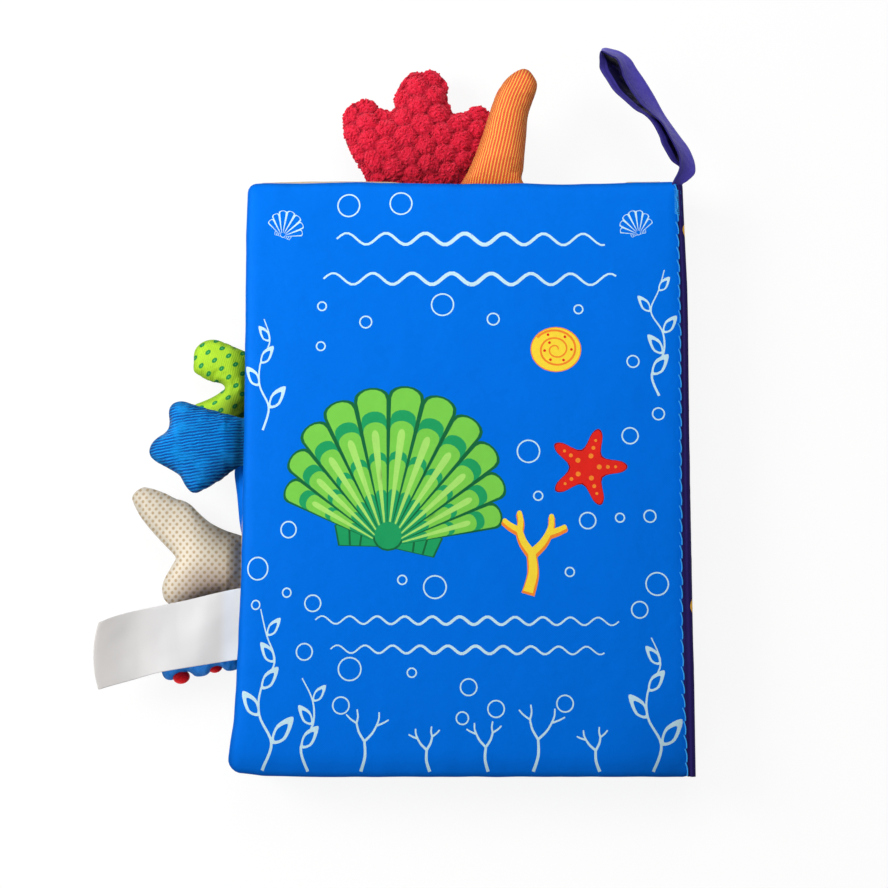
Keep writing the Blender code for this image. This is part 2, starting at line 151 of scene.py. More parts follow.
def new_object(name, points, edges=(), faces=(), scale=MM):
    """An object whose place is in its mesh, from points that are in millimetres."""
    mesh = bpy.data.meshes.new(name)
    mesh.from_pydata([tuple(c * scale for c in point) for point in points], list(edges), list(faces))
    made = bpy.data.objects.new(name, mesh)
    scene.collection.objects.link(made)
    return made


def mesh_points(mesh):
    """The points of a mesh, as the rows of an array."""
    found = np.empty(len(mesh.vertices) * 3, np.float32)
    mesh.vertices.foreach_get("co", found)
    return found.reshape(-1, 3)


# %% World and floor
WHITE = (1, 1, 1)
PAPER = (0.94, 0.94, 0.94)
WORLD_LIGHT = 0.30
FLOOR_HALF = 6.0
FLOOR_HEIGHT = -0.0002
GLOW_SHARE = 0.88


def backdrop_rays(tree):
    """1 for the rays that see the background itself or its reflection."""
    path = put(tree, "ShaderNodeLightPath")
    seen = maths(tree, "MAXIMUM", path.outputs["Is Camera Ray"], path.outputs["Is Glossy Ray"])
    return maths(tree, "MAXIMUM", seen, path.outputs["Is Transmission Ray"])


def two_faced(tree, share, lit, seen, output):
    """Joins what lights the book and what the camera sees behind it."""
    both = put(tree, "ShaderNodeMixShader", {"Fac": share, 1: lit.outputs[0], 2: seen.outputs[0]})
    put(tree, output, {"Surface": both.outputs[0]})


world = bpy.data.worlds.new("studio")
world.use_nodes = True
scene.world = world
sky = world.node_tree
sky.nodes.clear()
two_faced(
    sky, backdrop_rays(sky),
    put(sky, "ShaderNodeBackground", {"Color": WHITE, "Strength": WORLD_LIGHT}),
    put(sky, "ShaderNodeBackground", {"Color": WHITE, "Strength": 1.0}), "ShaderNodeOutputWorld")

floor = new_object(
    "floor",
    [(x * FLOOR_HALF, y * FLOOR_HALF, FLOOR_HEIGHT) for x, y in ((-1, -1), (1, -1), (1, 1), (-1, 1))],
    faces=[(0, 1, 2, 3)], scale=1.0)
paper = bpy.data.materials.new("white_paper_floor")
paper.use_nodes = True
paper_tree = paper.node_tree
paper_tree.nodes.clear()
two_faced(
    paper_tree, maths(paper_tree, "MULTIPLY", backdrop_rays(paper_tree), GLOW_SHARE),
    put(paper_tree, "ShaderNodeBsdfDiffuse", {"Color": PAPER}),
    put(paper_tree, "ShaderNodeEmission", {"Color": WHITE, "Strength": 1.0}),
    "ShaderNodeOutputMaterial")
floor.data.materials.append(paper)
print("floor in m:", 2 * FLOOR_HALF)

# %% [markdown]
# ## Cloth, as shader groups
#
# Every cloth here is woven or knitted, so the same few effects come back: threads that cross and
# ribs, both with painted shade in their hollows, rows of dots, a slow unevenness of dye, and a darker
# line of dirt and painted shade at a seam.
# Each is one group. They read `cloth_place`, an attribute in millimetres that lies flat on the cloth
# and goes with it over edges and round bends, so that a pattern never swims.
# %% Group helpers


def new_group(name, inputs, outputs):
    """A shader group with these named sockets. Returns the tree, its inputs and its output node."""
    tree = bpy.data.node_groups.new(name, "ShaderNodeTree")
    for label, kind, value in inputs:
        socket = tree.interface.new_socket(label, in_out="INPUT", socket_type=kind)
        if value is not None:
            socket.default_value = value
    for label, kind in outputs:
        tree.interface.new_socket(label, in_out="OUTPUT", socket_type=kind)
    return tree, put(tree, "NodeGroupInput").outputs, put(tree, "NodeGroupOutput")


def placed(tree, group, **inputs):
    """A group in a material, with its own values."""
    return put(tree, "ShaderNodeGroup", inputs, node_tree=group).outputs


FLOAT = "NodeSocketFloat"
VECTOR = "NodeSocketVector"


def flat_axes(tree, place, scale):
    """The two flat coordinates of the cloth, divided by a pitch."""
    axes = put(tree, "ShaderNodeSeparateXYZ", {0: place})
    return [maths(tree, "DIVIDE", axes.outputs[i], scale) for i in (0, 1)]


# %% Woven threads
tree, ins, out = new_group(
    "woven_threads", [("Place", VECTOR, None), ("Pitch", FLOAT, 0.5)],
    [("Height", FLOAT), ("Shade", FLOAT)])
u, v = flat_axes(tree, ins["Place"], ins["Pitch"])
over = maths(tree, "SINE", maths(tree, "MULTIPLY", u, math.pi))
under = maths(tree, "SINE", maths(tree, "MULTIPLY", v, math.pi))
crossing = maths(tree, "MULTIPLY", over, under)
weave_height = maths(tree, "MULTIPLY_ADD", crossing, 0.5, 0.5)
tree.links.new(weave_height, out.inputs["Height"])
# Shade is painted shade: a little darker where the threads dip under each other.
tree.links.new(maths(tree, "MULTIPLY_ADD", crossing, 0.03, 0.985), out.inputs["Shade"])
weave_group = tree

# %% Ribs, which wander a little
tree, ins, out = new_group(
    "ribbed_threads",
    [("Place", VECTOR, None), ("Pitch", FLOAT, 1.3), ("Lean", FLOAT, 0.0), ("Wander", FLOAT, 0.2)],
    [("Height", FLOAT), ("Shade", FLOAT)])
u, v = flat_axes(tree, ins["Place"], ins["Pitch"])
drift = maths(tree, "SUBTRACT", cloud(tree, ins["Place"], 0.35), 0.5)
wandering = maths(tree, "MULTIPLY", drift, ins["Wander"])
leaning = maths(tree, "ADD", v, maths(tree, "MULTIPLY", u, ins["Lean"]))
wave = maths(tree, "SINE", maths(
    tree, "MULTIPLY", maths(tree, "ADD", leaning, wandering), math.tau))
rib_height = maths(tree, "MULTIPLY_ADD", wave, 0.5, 0.5)
tree.links.new(rib_height, out.inputs["Height"])
# Shade is painted shade: darker in the grooves between the ribs.
tree.links.new(maths(tree, "POWER", rib_height, 0.8), out.inputs["Shade"])
rib_group = tree

# %% Staggered rows of dots
tree, ins, out = new_group(
    "dot_rows",
    [("Place", VECTOR, None), ("Pitch", FLOAT, 4.0), ("Row", FLOAT, 3.0), ("Radius", FLOAT, 0.7),
     ("Stretch", FLOAT, 1.0), ("Edge", FLOAT, 0.2)],
    [("Mask", FLOAT), ("Centre", FLOAT)])


def from_middle(tree, steps, size):
    """How far a place is from the middle of its own step, in millimetres."""
    return maths(tree, "MULTIPLY", maths(tree, "SUBTRACT", maths(tree, "FRACT", steps), 0.5), size)


axes = put(tree, "ShaderNodeSeparateXYZ", {0: ins["Place"]})
row = maths(tree, "DIVIDE", axes.outputs[1], ins["Row"])
odd = maths(tree, "FLOORED_MODULO", maths(tree, "FLOOR", row), 2.0)
column = maths(tree, "ADD", maths(
    tree, "DIVIDE", axes.outputs[0], ins["Pitch"]), maths(tree, "MULTIPLY", odd, 0.5))
across = from_middle(tree, column, ins["Pitch"])
along = maths(tree, "DIVIDE", from_middle(tree, row, ins["Row"]), ins["Stretch"])
reach = maths(tree, "SQRT", maths(
    tree, "ADD", maths(tree, "MULTIPLY", across, across),
    maths(tree, "MULTIPLY", along, along)))
rim_start = maths(tree, "SUBTRACT", ins["Radius"], ins["Edge"])
heart_size = maths(tree, "MULTIPLY", ins["Radius"], 0.4)
tree.links.new(ramp(tree, reach, ins["Radius"], rim_start), out.inputs["Mask"])
tree.links.new(ramp(tree, reach, heart_size, 0.0, smooth=False), out.inputs["Centre"])
dot_group = tree

# %% Uneven dye, and the painted shade at a seam
dye_group, ins, out = new_group(
    "uneven_dye",
    [("Place", VECTOR, None), ("Size", FLOAT, 12.0), ("Amount", FLOAT, 0.08)], [("Shade", FLOAT)])
slow = cloud(dye_group, ins["Place"], maths(dye_group, "DIVIDE", 1.0, ins["Size"]), 4.0)
swing = maths(dye_group, "MULTIPLY", maths(dye_group, "SUBTRACT", slow, 0.5), ins["Amount"])
dye_group.links.new(maths(dye_group, "ADD", swing, 1.0), out.inputs["Shade"])

# Painted shade, with some dirt: the cloth is darkened within Reach of its seam, where the rolled edge
# turns from the light.
seam_group, ins, out = new_group(
    "seam_shade", [("Rim", FLOAT, 5.0), ("Reach", FLOAT, 2.0), ("Depth", FLOAT, 0.3)],
    [("Shade", FLOAT)])
darkest = maths(seam_group, "SUBTRACT", 1.0, ins["Depth"])
seam_group.links.new(
    ramp(seam_group, ins["Rim"], 0.0, ins["Reach"], darkest), out.inputs["Shade"])
print("shader groups:", len(bpy.data.node_groups))

# %% [markdown]
# ## The finishes
#
# A finish is the cloth's own colour, multiplied by the groups' shades, which are uneven dye and painted
# shade, with the threads as a fine bump. Roughness and sheen differ: satin is smoother, plush has the
# most sheen. The print is a colour attribute, because real print has hard edges that a coarse noise
# could not give.
# %% Material helpers


def srgb(red, green, blue):
    """A colour as it is seen, from 0 to 255, in the linear light that Blender mixes in."""
    values = [value / 255 for value in (red, green, blue)]
    return tuple(
        value / 12.92 if value <= 0.04045 else ((value + 0.055) / 1.055) ** 2.4
        for value in values)


def read(tree, name):
    return put(tree, "ShaderNodeAttribute", attribute_name=name)


def new_cloth(name, roughness, sheen=0.0, specular=0.35):
    """A material with a Principled BSDF and the two attributes that every cloth has."""
    made = bpy.data.materials.new(name)
    made.use_nodes = True
    tree = made.node_tree
    shader = tree.nodes["Principled BSDF"]
    for label, value in (("Roughness", roughness), ("Sheen Weight", sheen), ("Sheen Roughness", 0.5),
                         ("Specular IOR Level", specular)):
        shader.inputs[label].default_value = value
    return made, tree, read(tree, "cloth_place").outputs["Vector"], read(tree, "rim").outputs["Fac"]


def mixed(tree, factor, one, other):
    """Between two colours, by a mask."""
    return put(tree, "ShaderNodeMix", {0: factor, 6: one, 7: other}, data_type="RGBA").outputs[2]


def shaded(tree, colour, *shades):
    """A colour times its shades."""
    for shade in shades:
        colour = put(tree, "ShaderNodeMix", {
            0: 1.0, 6: colour, 7: shade}, data_type="RGBA", blend_type="MULTIPLY").outputs[2]
    return colour


def dye_and_seam(tree, place, rim, dye_size, dye, reach, depth):
    """The two shades that most cloths share: uneven dye, and dirt with painted shade at the seam."""
    dyed = placed(tree, dye_group, Place=place, Size=dye_size, Amount=dye)
    seam = placed(tree, seam_group, Rim=rim, Reach=reach, Depth=depth)
    return dyed["Shade"], seam["Shade"]


def woven(tree, place, rim, pitch, **shades):
    """The threads' height, and the shades of the threads, the dye and the seam."""
    weave = placed(tree, weave_group, Place=place, Pitch=pitch)
    return weave["Height"], (weave["Shade"], *dye_and_seam(tree, place, rim, **shades))


def corner_shade(tree, place, corner, reach, left):
    """Darker round one corner of a cloth, where only this share of the light is left."""
    flat = put(tree, "ShaderNodeVectorMath", {0: place, 1: (1, 1, 0)}, operation="MULTIPLY")
    away = put(tree, "ShaderNodeVectorMath", {0: flat.outputs[0], 1: corner}, operation="DISTANCE")
    return ramp(tree, away.outputs["Value"], 0.0, reach, left)


def finish_cloth(made, place, colour, bumps, roughness=None, swing=0.1, scale=0.3):
    """Links the colour, the bumps with their depths in millimetres, and a slow change of roughness."""
    tree = made.node_tree
    shader = tree.nodes["Principled BSDF"]
    tree.links.new(colour, shader.inputs["Base Color"])
    normal = None
    for height, depth in bumps:
        bump = put(tree, "ShaderNodeBump", {"Height": height, "Distance": depth * MM})
        if normal is not None:
            tree.links.new(normal, bump.inputs["Normal"])
        normal = bump.outputs[0]
    tree.links.new(normal, shader.inputs["Normal"])
    if roughness is not None:
        value = maths(tree, "MULTIPLY_ADD", cloud(tree, place, scale), swing, roughness - swing / 2)
        tree.links.new(value, shader.inputs["Roughness"])
    return made


# %% Printed cloth of the leaves


def printed_cloth(name, print_or_shade_by_place=None):
    """Smooth cotton. Its print is an attribute; an optional function may add more print or painted shade
    to it by place.
    """
    made, tree, place, rim = new_cloth(name, 0.5, specular=0.02)
    threads, (weave, dyed, seam) = woven(
        tree, place, rim, 0.42, dye_size=28.0, dye=0.09, reach=2.6, depth=0.34)
    grain = placed(tree, dye_group, Place=place, Size=0.9, Amount=0.16)
    ink = read(tree, "print").outputs["Color"]
    if print_or_shade_by_place:
        ink = print_or_shade_by_place(tree, ink, place)
    creases = cloud(tree, place, 0.11, 3.0)
    return finish_cloth(
        made, place, shaded(tree, ink, weave, dyed, grain["Shade"], seam),
        [(creases, 0.5), (threads, 0.035)], 0.52, 0.12, 0.2)


def spotted_spine(tree, ink, place):
    """Two rows of yellow spots across the spine's height, on its navy print."""
    moved = put(tree, "ShaderNodeVectorMath", {0: place, 1: (-5.2, 14.15, 0)}, operation="ADD")
    spots = placed(tree, dot_group, Place=moved.outputs[0], Pitch=30.0, Row=73.7, Radius=3.0, Edge=0.12)
    return mixed(tree, spots["Mask"], ink, srgb(246, 190, 74))


def sea_with_painted_shade(tree, ink, place):
    """The cover's print with painted shade: darker towards its foot, darker still along the rolled foot
    and round the corner by the spine.
    """
    height = put(tree, "ShaderNodeSeparateXYZ", {0: place}).outputs[1]
    # Painted shade: the light's fall from head to foot, the shade of the rolled foot, and a shaded
    # corner.
    painted_head_to_foot_shade = ramp(tree, height, -115.0, 115.0, 0.8, 0.99, smooth=False)
    foot = ramp(tree, height, -116.0, -104.0, 0.76)
    return shaded(tree, ink, painted_head_to_foot_shade, foot, corner_shade(tree, place, (88, -118, 0), 46, 0.78))


cover_cloth = printed_cloth("printed_cover_cloth", sea_with_painted_shade)
page_cloth = printed_cloth("printed_page_cloth")
spine_cloth = printed_cloth("printed_spine_cloth", spotted_spine)

# %% Plain cloth, for the thread and the tentacle


def plain_cloth(name, colour, pitch, depth, roughness, sheen, dye=0.14):
    """A cloth of one dye, by its thread's pitch and depth in millimetres."""
    made, tree, place, rim = new_cloth(name, roughness, sheen, 0.2)
    threads, shades = woven(tree, place, rim, pitch, dye_size=6.0, dye=dye, reach=3.0, depth=0.45)
    return finish_cloth(made, place, shaded(tree, colour, *shades), [(threads, depth)], roughness)


stitch_thread = plain_cloth("stitch_thread", srgb(44, 148, 220), 0.2, 0.03, 0.55, 0.02)
tentacle_blue = plain_cloth("tentacle_blue_cloth", srgb(34, 146, 250), 0.6, 0.08, 0.5, 0.03, 0.2)
tentacle_red = plain_cloth("tentacle_red_cloth", srgb(236, 8, 26), 0.5, 0.08, 0.4, 0.03, 0.2)

# %% Bobble plush


def bobble_plush():
    """Red plush, frosted where the pile catches the light, painted dark in the crevices of its bobbles
    and with painted shade round its root.
    """
    made, tree, place, _ = new_cloth("bobble_plush", 0.9, 0.22, 0.08)
    tree.nodes["Principled BSDF"].inputs["Sheen Tint"].default_value = (1.0, 0.55, 0.62, 1)
    fuzz = cloud(tree, place, 1.3, 5.0)
    frosted = ramp(tree, fuzz, 0.3, 0.72, smooth=False)
    crest = mixed(tree, frosted, srgb(192, 6, 33), srgb(234, 46, 76))
    # Painted shade: the crevices between the bobbles are painted near black-red, and the fan darkens
    # round its root.
    height = ramp(tree, read(tree, "bobble").outputs["Fac"], 0.1, 0.85)
    root = corner_shade(tree, place, (0, -4, 0), 34, 0.74)
    colour = shaded(tree, mixed(tree, height, srgb(80, 1, 14), crest), root)
    return finish_cloth(made, place, colour, [(fuzz, 0.5)])


bobble_cloth = bobble_plush()

# %% Striped cloth


def striped_cloth():
    """Orange cloth with raised yellow stripes, which an attribute of the piece counts."""
    made, tree, place, rim = new_cloth("striped_cloth", 0.6, 0.04, 0.2)
    turns = maths(tree, "MULTIPLY", read(tree, "stripe").outputs["Fac"], math.tau)
    raised = ramp(tree, maths(tree, "SINE", turns), -0.1, 0.85)
    threads, shades = woven(tree, place, rim, 0.5, dye_size=7.0, dye=0.15, reach=3.5, depth=0.35)
    bands = mixed(tree, raised, srgb(226, 84, 50), srgb(255, 184, 78))
    return finish_cloth(
        made, place, shaded(tree, bands, *shades), [(raised, 0.08), (threads, 0.05)], 0.6)


stripe_cloth = striped_cloth()

# %% Dotted cloth


def dotted_cloth():
    """Lime ribbed cloth with slanting rows of green ovals that are paler in their middles, with painted
    shade in its rib grooves and at the low corner of its root, beside the star.
    """
    made, tree, place, rim = new_cloth("dotted_cloth", 0.6, 0.03, 0.15)
    slanted = put(tree, "ShaderNodeVectorRotate", {
        "Vector": place, "Angle": math.radians(-40)}, rotation_type="Z_AXIS").outputs[0]
    dots = placed(
        tree, dot_group, Place=slanted, Pitch=4.3, Row=5.3, Radius=0.95, Stretch=1.45, Edge=0.22)
    ribs = placed(tree, rib_group, Place=place, Pitch=0.85, Lean=0.25, Wander=0.6)
    dyed, seam = dye_and_seam(tree, place, rim, 5.0, 0.2, 3.0, 0.35)
    # Painted shade in the grooves between the ribs.
    rib_groove_painted_shade = maths(tree, "MULTIPLY_ADD", ribs["Shade"], 0.1, 0.93)
    ground = shaded(tree, srgb(161, 207, 40), rib_groove_painted_shade, dyed)
    middle = maths(tree, "MULTIPLY", dots["Centre"], 0.7)
    oval = mixed(tree, middle, srgb(12, 132, 60), srgb(110, 196, 130))
    # Painted shade at the low corner of the root, where the star above shades it.
    corner = corner_shade(tree, place, (-11, 1, 0), 12, 0.2)
    return finish_cloth(
        made, place, shaded(tree, mixed(tree, dots["Mask"], ground, oval), seam, corner),
        [(ribs["Height"], 0.06), (dots["Mask"], 0.03)], 0.6)


dot_cloth = dotted_cloth()

# %% Ribbed satin


def ribbed_satin():
    """Blue satin in shining cords, painted dark in the grooves and bright on the cords, with painted
    highlight patches and painted shade on its low flank.
    """
    made, tree, place, rim = new_cloth("ribbed_satin", 0.42, specular=0.08)
    ribs = placed(tree, rib_group, Place=place, Pitch=1.18, Lean=0.16, Wander=0.7)
    # Painted highlight: slow patches where the grooves are painted as bright as the lit cords.
    painted_lit_patches = ramp(tree, cloud(tree, place, 0.16), 0.45, 0.68, 0.0, 0.75)
    twist = placed(tree, rib_group, Place=place, Pitch=0.6, Lean=1.6, Wander=0.3)
    dyed, seam = dye_and_seam(tree, place, rim, 7.0, 0.5, 3.0, 0.5)
    lit = maths(tree, "MAXIMUM", ribs["Shade"], painted_lit_patches)
    # Lit and shaded copies of one blue: painted light on the cords, painted shade in the grooves.
    bands = mixed(tree, lit, srgb(0, 50, 144), srgb(2, 144, 230))
    # Painted shade in the fine twist grooves.
    painted_twist_shade = maths(tree, "MULTIPLY_ADD", twist["Shade"], 0.16, 0.9)
    # Painted shade on the low flank near the root, which faces away from the lamp.
    corner = corner_shade(tree, place, (3, -14, 0), 13, 0.32)
    return finish_cloth(
        made, place, shaded(tree, bands, painted_twist_shade, dyed, seam, corner),
        [(ribs["Height"], 0.3), (twist["Height"], 0.05)], 0.38, 0.14, 0.4)


rib_satin = ribbed_satin()

# %% Label satin


def label_cloth():
    """White satin with a painted blue reflection of the cover at the seam, painted shade greying it
    towards its fold, and painted shade over its soft waves.
    """
    made, tree, place, _ = new_cloth("label_satin", 0.4, specular=0.15)
    run = put(tree, "ShaderNodeSeparateXYZ", {0: place}).outputs[1]
    # Painted reflection near the seam, and painted shade towards the fold and over the waves.
    painted_blue_reflection = ramp(tree, run, 11.0, 6.0)
    painted_fold_shade = ramp(tree, run, 26.0, 60.0, smooth=False)
    waves = cloud(tree, place, 0.07, 1.0)
    painted_wave_shade = maths(tree, "MULTIPLY_ADD", waves, 0.12, 0.94)
    weave = placed(tree, weave_group, Place=place, Pitch=0.3)
    white = mixed(tree, painted_fold_shade, srgb(203, 203, 205), srgb(192, 189, 187))
    reflection_tinted = mixed(tree, painted_blue_reflection, white, srgb(213, 220, 232))
    return finish_cloth(
        made, place, shaded(tree, reflection_tinted, weave["Shade"], painted_wave_shade),
        [(waves, 1.2), (weave["Height"], 0.02)], 0.4)


label_satin = label_cloth()

# %% Strap satin


def lined_ribbon_cloth():
    """The strap's cloth: purple outside with painted shade at its curl, its inner face painted dark as
    the loop's shade but for a hem.
    """
    made, tree, place, rim = new_cloth("strap_satin", 0.45, specular=0.12)
    threads, shades = woven(tree, place, rim, 0.45, dye_size=5.0, dye=0.3, reach=4.0, depth=0.3)
    share = read(tree, "across_share").outputs["Fac"]
    from_hem = maths(tree, "ABSOLUTE", maths(tree, "SUBTRACT", share, 0.82))
    hem = ramp(tree, from_hem, 0.012, 0.035, 0.72, smooth=False)
    # Painted shade where the outer face curls in towards one edge.
    painted_curl_shade = ramp(tree, share, 1.0, 0.25, 0.55, smooth=False)
    outside = shaded(tree, srgb(78, 68, 176), *shades, hem, painted_curl_shade)
    # Painted shade: the inner face is painted near black for the shade inside the loop, with paler
    # painted patches of light.
    painted_inner_patches = ramp(tree, cloud(tree, place, 0.16), 0.5, 0.62)
    inside = mixed(tree, painted_inner_patches, srgb(14, 11, 48), srgb(44, 36, 108))
    inner_face = maths(
        tree, "GREATER_THAN", put(tree, "ShaderNodeSeparateXYZ", {0: place}).outputs[2], 0.0)
    inner_face_painted_shade = maths(tree, "MULTIPLY", ramp(tree, share, 0.71, 0.66), inner_face)
    creases = cloud(tree, place, 0.22, 3.0)
    return finish_cloth(
        made, place, mixed(tree, inner_face_painted_shade, outside, inside),
        [(creases, 0.9), (hem, 0.12), (threads, 0.05)], 0.45, 0.12)


strap_satin = lined_ribbon_cloth()

# %% Spotted cloth


def spotted_cloth():
    """Cream cloth with fine pitted dots, with painted shade on its flanks by the root, warm pink on the
    low one, and on its upper lobe.
    """
    made, tree, place, rim = new_cloth("spotted_cloth", 0.7, 0.1, 0.2)
    dots = placed(
        tree, dot_group, Place=place, Pitch=3.1, Row=1.45, Radius=0.8, Stretch=1.0, Edge=0.42)
    threads, (weave, dyed, seam) = woven(
        tree, place, rim, 0.4, dye_size=9.0, dye=0.12, reach=4.0, depth=0.25)
    # Painted shade: both flanks near the root and the upper lobe are darkened, and the low flank is
    # tinted pink.
    top = corner_shade(tree, place, (14, 3, 0), 19, 0.28)
    low = corner_shade(tree, place, (-19, 9, 0), 24, 0.22)
    tip = corner_shade(tree, place, (20, 32, 0), 20, 0.84)
    cream = shaded(tree, mixed(tree, low, srgb(204, 172, 166), srgb(212, 203, 187)), weave, dyed)
    dot_share = maths(tree, "MULTIPLY", dots["Mask"], 0.8)
    colour = shaded(tree, mixed(tree, dot_share, cream, srgb(168, 142, 98)), seam, top, low, tip)
    pits = maths(tree, "SUBTRACT", 1.0, dots["Mask"])
    return finish_cloth(made, place, colour, [(pits, 0.12), (threads, 0.05)], 0.72)


spot_cloth = spotted_cloth()
print("finishes:", len(bpy.data.materials))

# %% [markdown]
# ## Outlines in flat millimetres
#
# Print is drawn before it is sewn: strokes, rings and petals are closed outlines on the flat cloth.
# A Delaunay mesh then splits the cloth along every outline, and each triangle takes the colour of
# the last shape that covers it, as when one ink is laid over another. That keeps the edges of the
# print crisp at any distance, which a texture of the same size would not.
# %% Smooth lines, strokes and discs


def flowing(points, steps=6, closed=False):
    """A smooth line through some flat or solid points, as a list of Vectors."""
    knots = [Vector(point) for point in points]
    count = len(knots)
    line = []
    for i in range(count if closed else count - 1):
        if closed:
            a, b, c, d = (knots[(i + k) % count] for k in (-1, 0, 1, 2))
        else:
            a, b, c, d = (knots[min(max(i + k, 0), count - 1)] for k in (-1, 0, 1, 2))
        for step in range(steps):
            t = step / steps
            line.append(0.5 * (
                2 * b + (c - a) * t + (2 * a - 5 * b + 4 * c - d) * t * t
                + (3 * b - a - 3 * c + d) * t * t * t))
    if not closed:
        line.append(knots[-1])
    return line


def stroke(line, width, end_width=None):
    """The outline of a drawn line, thinning or swelling from its start to its end."""
    end_width = width if end_width is None else end_width
    left, right = [], []
    for i, point in enumerate(line):
        before, after = line[max(0, i - 1)], line[min(len(line) - 1, i + 1)]
        side = (after - before).normalized()
        side = Vector((-side.y, side.x))
        half = (width + (end_width - width) * i / (len(line) - 1)) / 2
        left.append(point + side * half)
        right.append(point - side * half)
    return right + left[::-1]


def disc(centre, radius, squash=1.0, steps=28):
    return [Vector((
        centre[0] + radius * math.cos(math.tau * i / steps),
        centre[1] + radius * squash * math.sin(math.tau * i / steps))) for i in range(steps)]


def polar(centre, angle, reach):
    """The place at a reach from a centre, at an angle from straight up."""
    return centre[0] + reach * math.sin(angle), centre[1] + reach * math.cos(angle)


# %% Bubbles and water lines


def ring(ink, centre, radius, width=0.55):
    """A bubble: the cloth's own ground shows through its middle."""
    return [(ink, disc(centre, radius + width / 2)), ("ground", disc(centre, radius - width / 2))]


def ripple(ink, start, length, swing, wave, width):
    """A water line that tapers at both ends."""
    line = []
    for i in range(int(length / wave * 10) + 1):
        x = i * wave / 10
        line.append(Vector((start[0] + x, start[1] + swing * math.sin(math.tau * x / wave))))
    middle = len(line) // 2
    return [
        (ink, stroke(line[:middle + 1], width * 0.45, width)),
        (ink, stroke(line[middle:], width, width * 0.45))]


def scattered_rings(ink, seed, count, keep_out, bounds, radii=(1.7, 2.3, 3.1, 4.3)):
    """Bubbles at seeded places, none of them on another motif."""
    rng = np.random.default_rng(seed)
    found, tries = [], 0
    while len(found) < count and tries < 4000:
        tries += 1
        x = rng.uniform(bounds[0], bounds[2])
        y = rng.uniform(bounds[1], bounds[3])
        radius = radii[int(rng.integers(len(radii)))]
        clear = all(math.hypot(x - a, y - b) > radius + r + 4.5 for a, b, r in found)
        if clear and all(
                math.hypot((x - a) / w, (y - b) / h) > 1 for a, b, w, h in keep_out):
            found.append((x, y, radius))
    return [shape for x, y, radius in found for shape in ring(ink, (x, y), radius)]


# %% Kelp and coral


def kelp(ink, root, height, sway, leaves, width=0.9):
    """A stem that swings from side to side, with a pointed leaf at each swing."""
    knots = [
        (root[0] + sway * math.sin(i * 1.9), root[1] + height * i / leaves)
        for i in range(leaves + 1)]
    line = flowing(knots)
    shapes = [(ink, stroke(line, width, width * 0.4))]
    for i in range(1, leaves):
        side = 1 if i % 2 else -1
        x, y = knots[i]
        reach = (height / leaves) * (1.15 - 0.5 * i / leaves)
        tip = (x + side * reach * 0.75, y + reach * 0.9)
        leaf = flowing([
            (x, y), (x + side * reach * 0.5, y + reach * 0.15), tip,
            (x + side * reach * 0.16, y + reach * 0.62)], 5, True)
        shapes.append((ink, leaf))
        inner = [Vector((x, y)) + (point - Vector((x, y))) * 0.62 + Vector((
            side * reach * 0.09, reach * 0.1)) for point in leaf]
        shapes.append(("ground", inner))
    return shapes


def coral(ink, root, height, lean=0.0, spread=0.55, depth=3, width=1.2):
    """A branch that forks, each fork shorter and thinner."""
    shapes = []
    tip = Vector(root) + height * Vector((math.sin(lean), math.cos(lean)))
    bend = Vector(root).lerp(tip, 0.5) + Vector((0.08 * height * (1 if lean > 0 else -1), 0))
    shapes.append((ink, stroke(flowing([Vector(root), bend, tip], 5), width, width * 0.75)))
    shapes.append((ink, disc(tip, width * 0.42, steps=10)))
    if depth > 1:
        for side in (-1, 1):
            shapes += coral(
                ink, tip, height * 0.66, lean + side * spread, spread * 0.85, depth - 1, width * 0.78)
    return shapes


# %% Starfish and snail shell


def starfish(ink, line_ink, dot_ink, centre, radius, turn=0.0):
    """Five rounded arms with a darker rim and a row of dots on each."""
    arms = [turn + math.tau * arm / 5 for arm in range(5)]
    knots = [
        polar(centre, angle + offset, radius * reach) for angle in arms
        for offset, reach in ((-0.16, 0.86), (0.0, 1.0), (0.16, 0.86), (0.628, 0.44))]
    body = flowing(knots, 4, True)[::-1]
    heart = Vector(centre)
    rim = [heart + (point - heart) * (1 + 0.45 / max((point - heart).length, 0.1)) for point in body]
    dots = [
        (dot_ink, disc(
            polar(centre, angle, radius * share), radius * 0.062 * (1.35 - share), steps=10))
        for angle in arms for share in (0.3, 0.52, 0.72)]
    return [(line_ink, rim), (ink, body), *dots]


def snail_shell(ink, line_ink, mark_ink, centre, radius, turns=2.4, squash=0.9, steps=60):
    """A round whorl with one spiral line and a row of spots along it."""
    def on_spiral(i, inwards=0.0):
        angle = math.tau * turns * i / steps
        reach = radius * (0.08 + 0.86 * i / steps) - inwards
        return centre[0] + reach * math.cos(angle), centre[1] + squash * reach * math.sin(angle)

    spiral = [Vector(on_spiral(i)) for i in range(steps + 1)]
    spots = [
        (mark_ink, disc(on_spiral(i, radius * 0.16), radius * 0.06, steps=8))
        for i in range(34, steps, 4)]
    return [
        (line_ink, disc(centre, radius + 0.4, squash)), (ink, disc(centre, radius, squash)),
        (line_ink, stroke(spiral, 0.5, 0.9)), *spots]


# %% Scallop shell


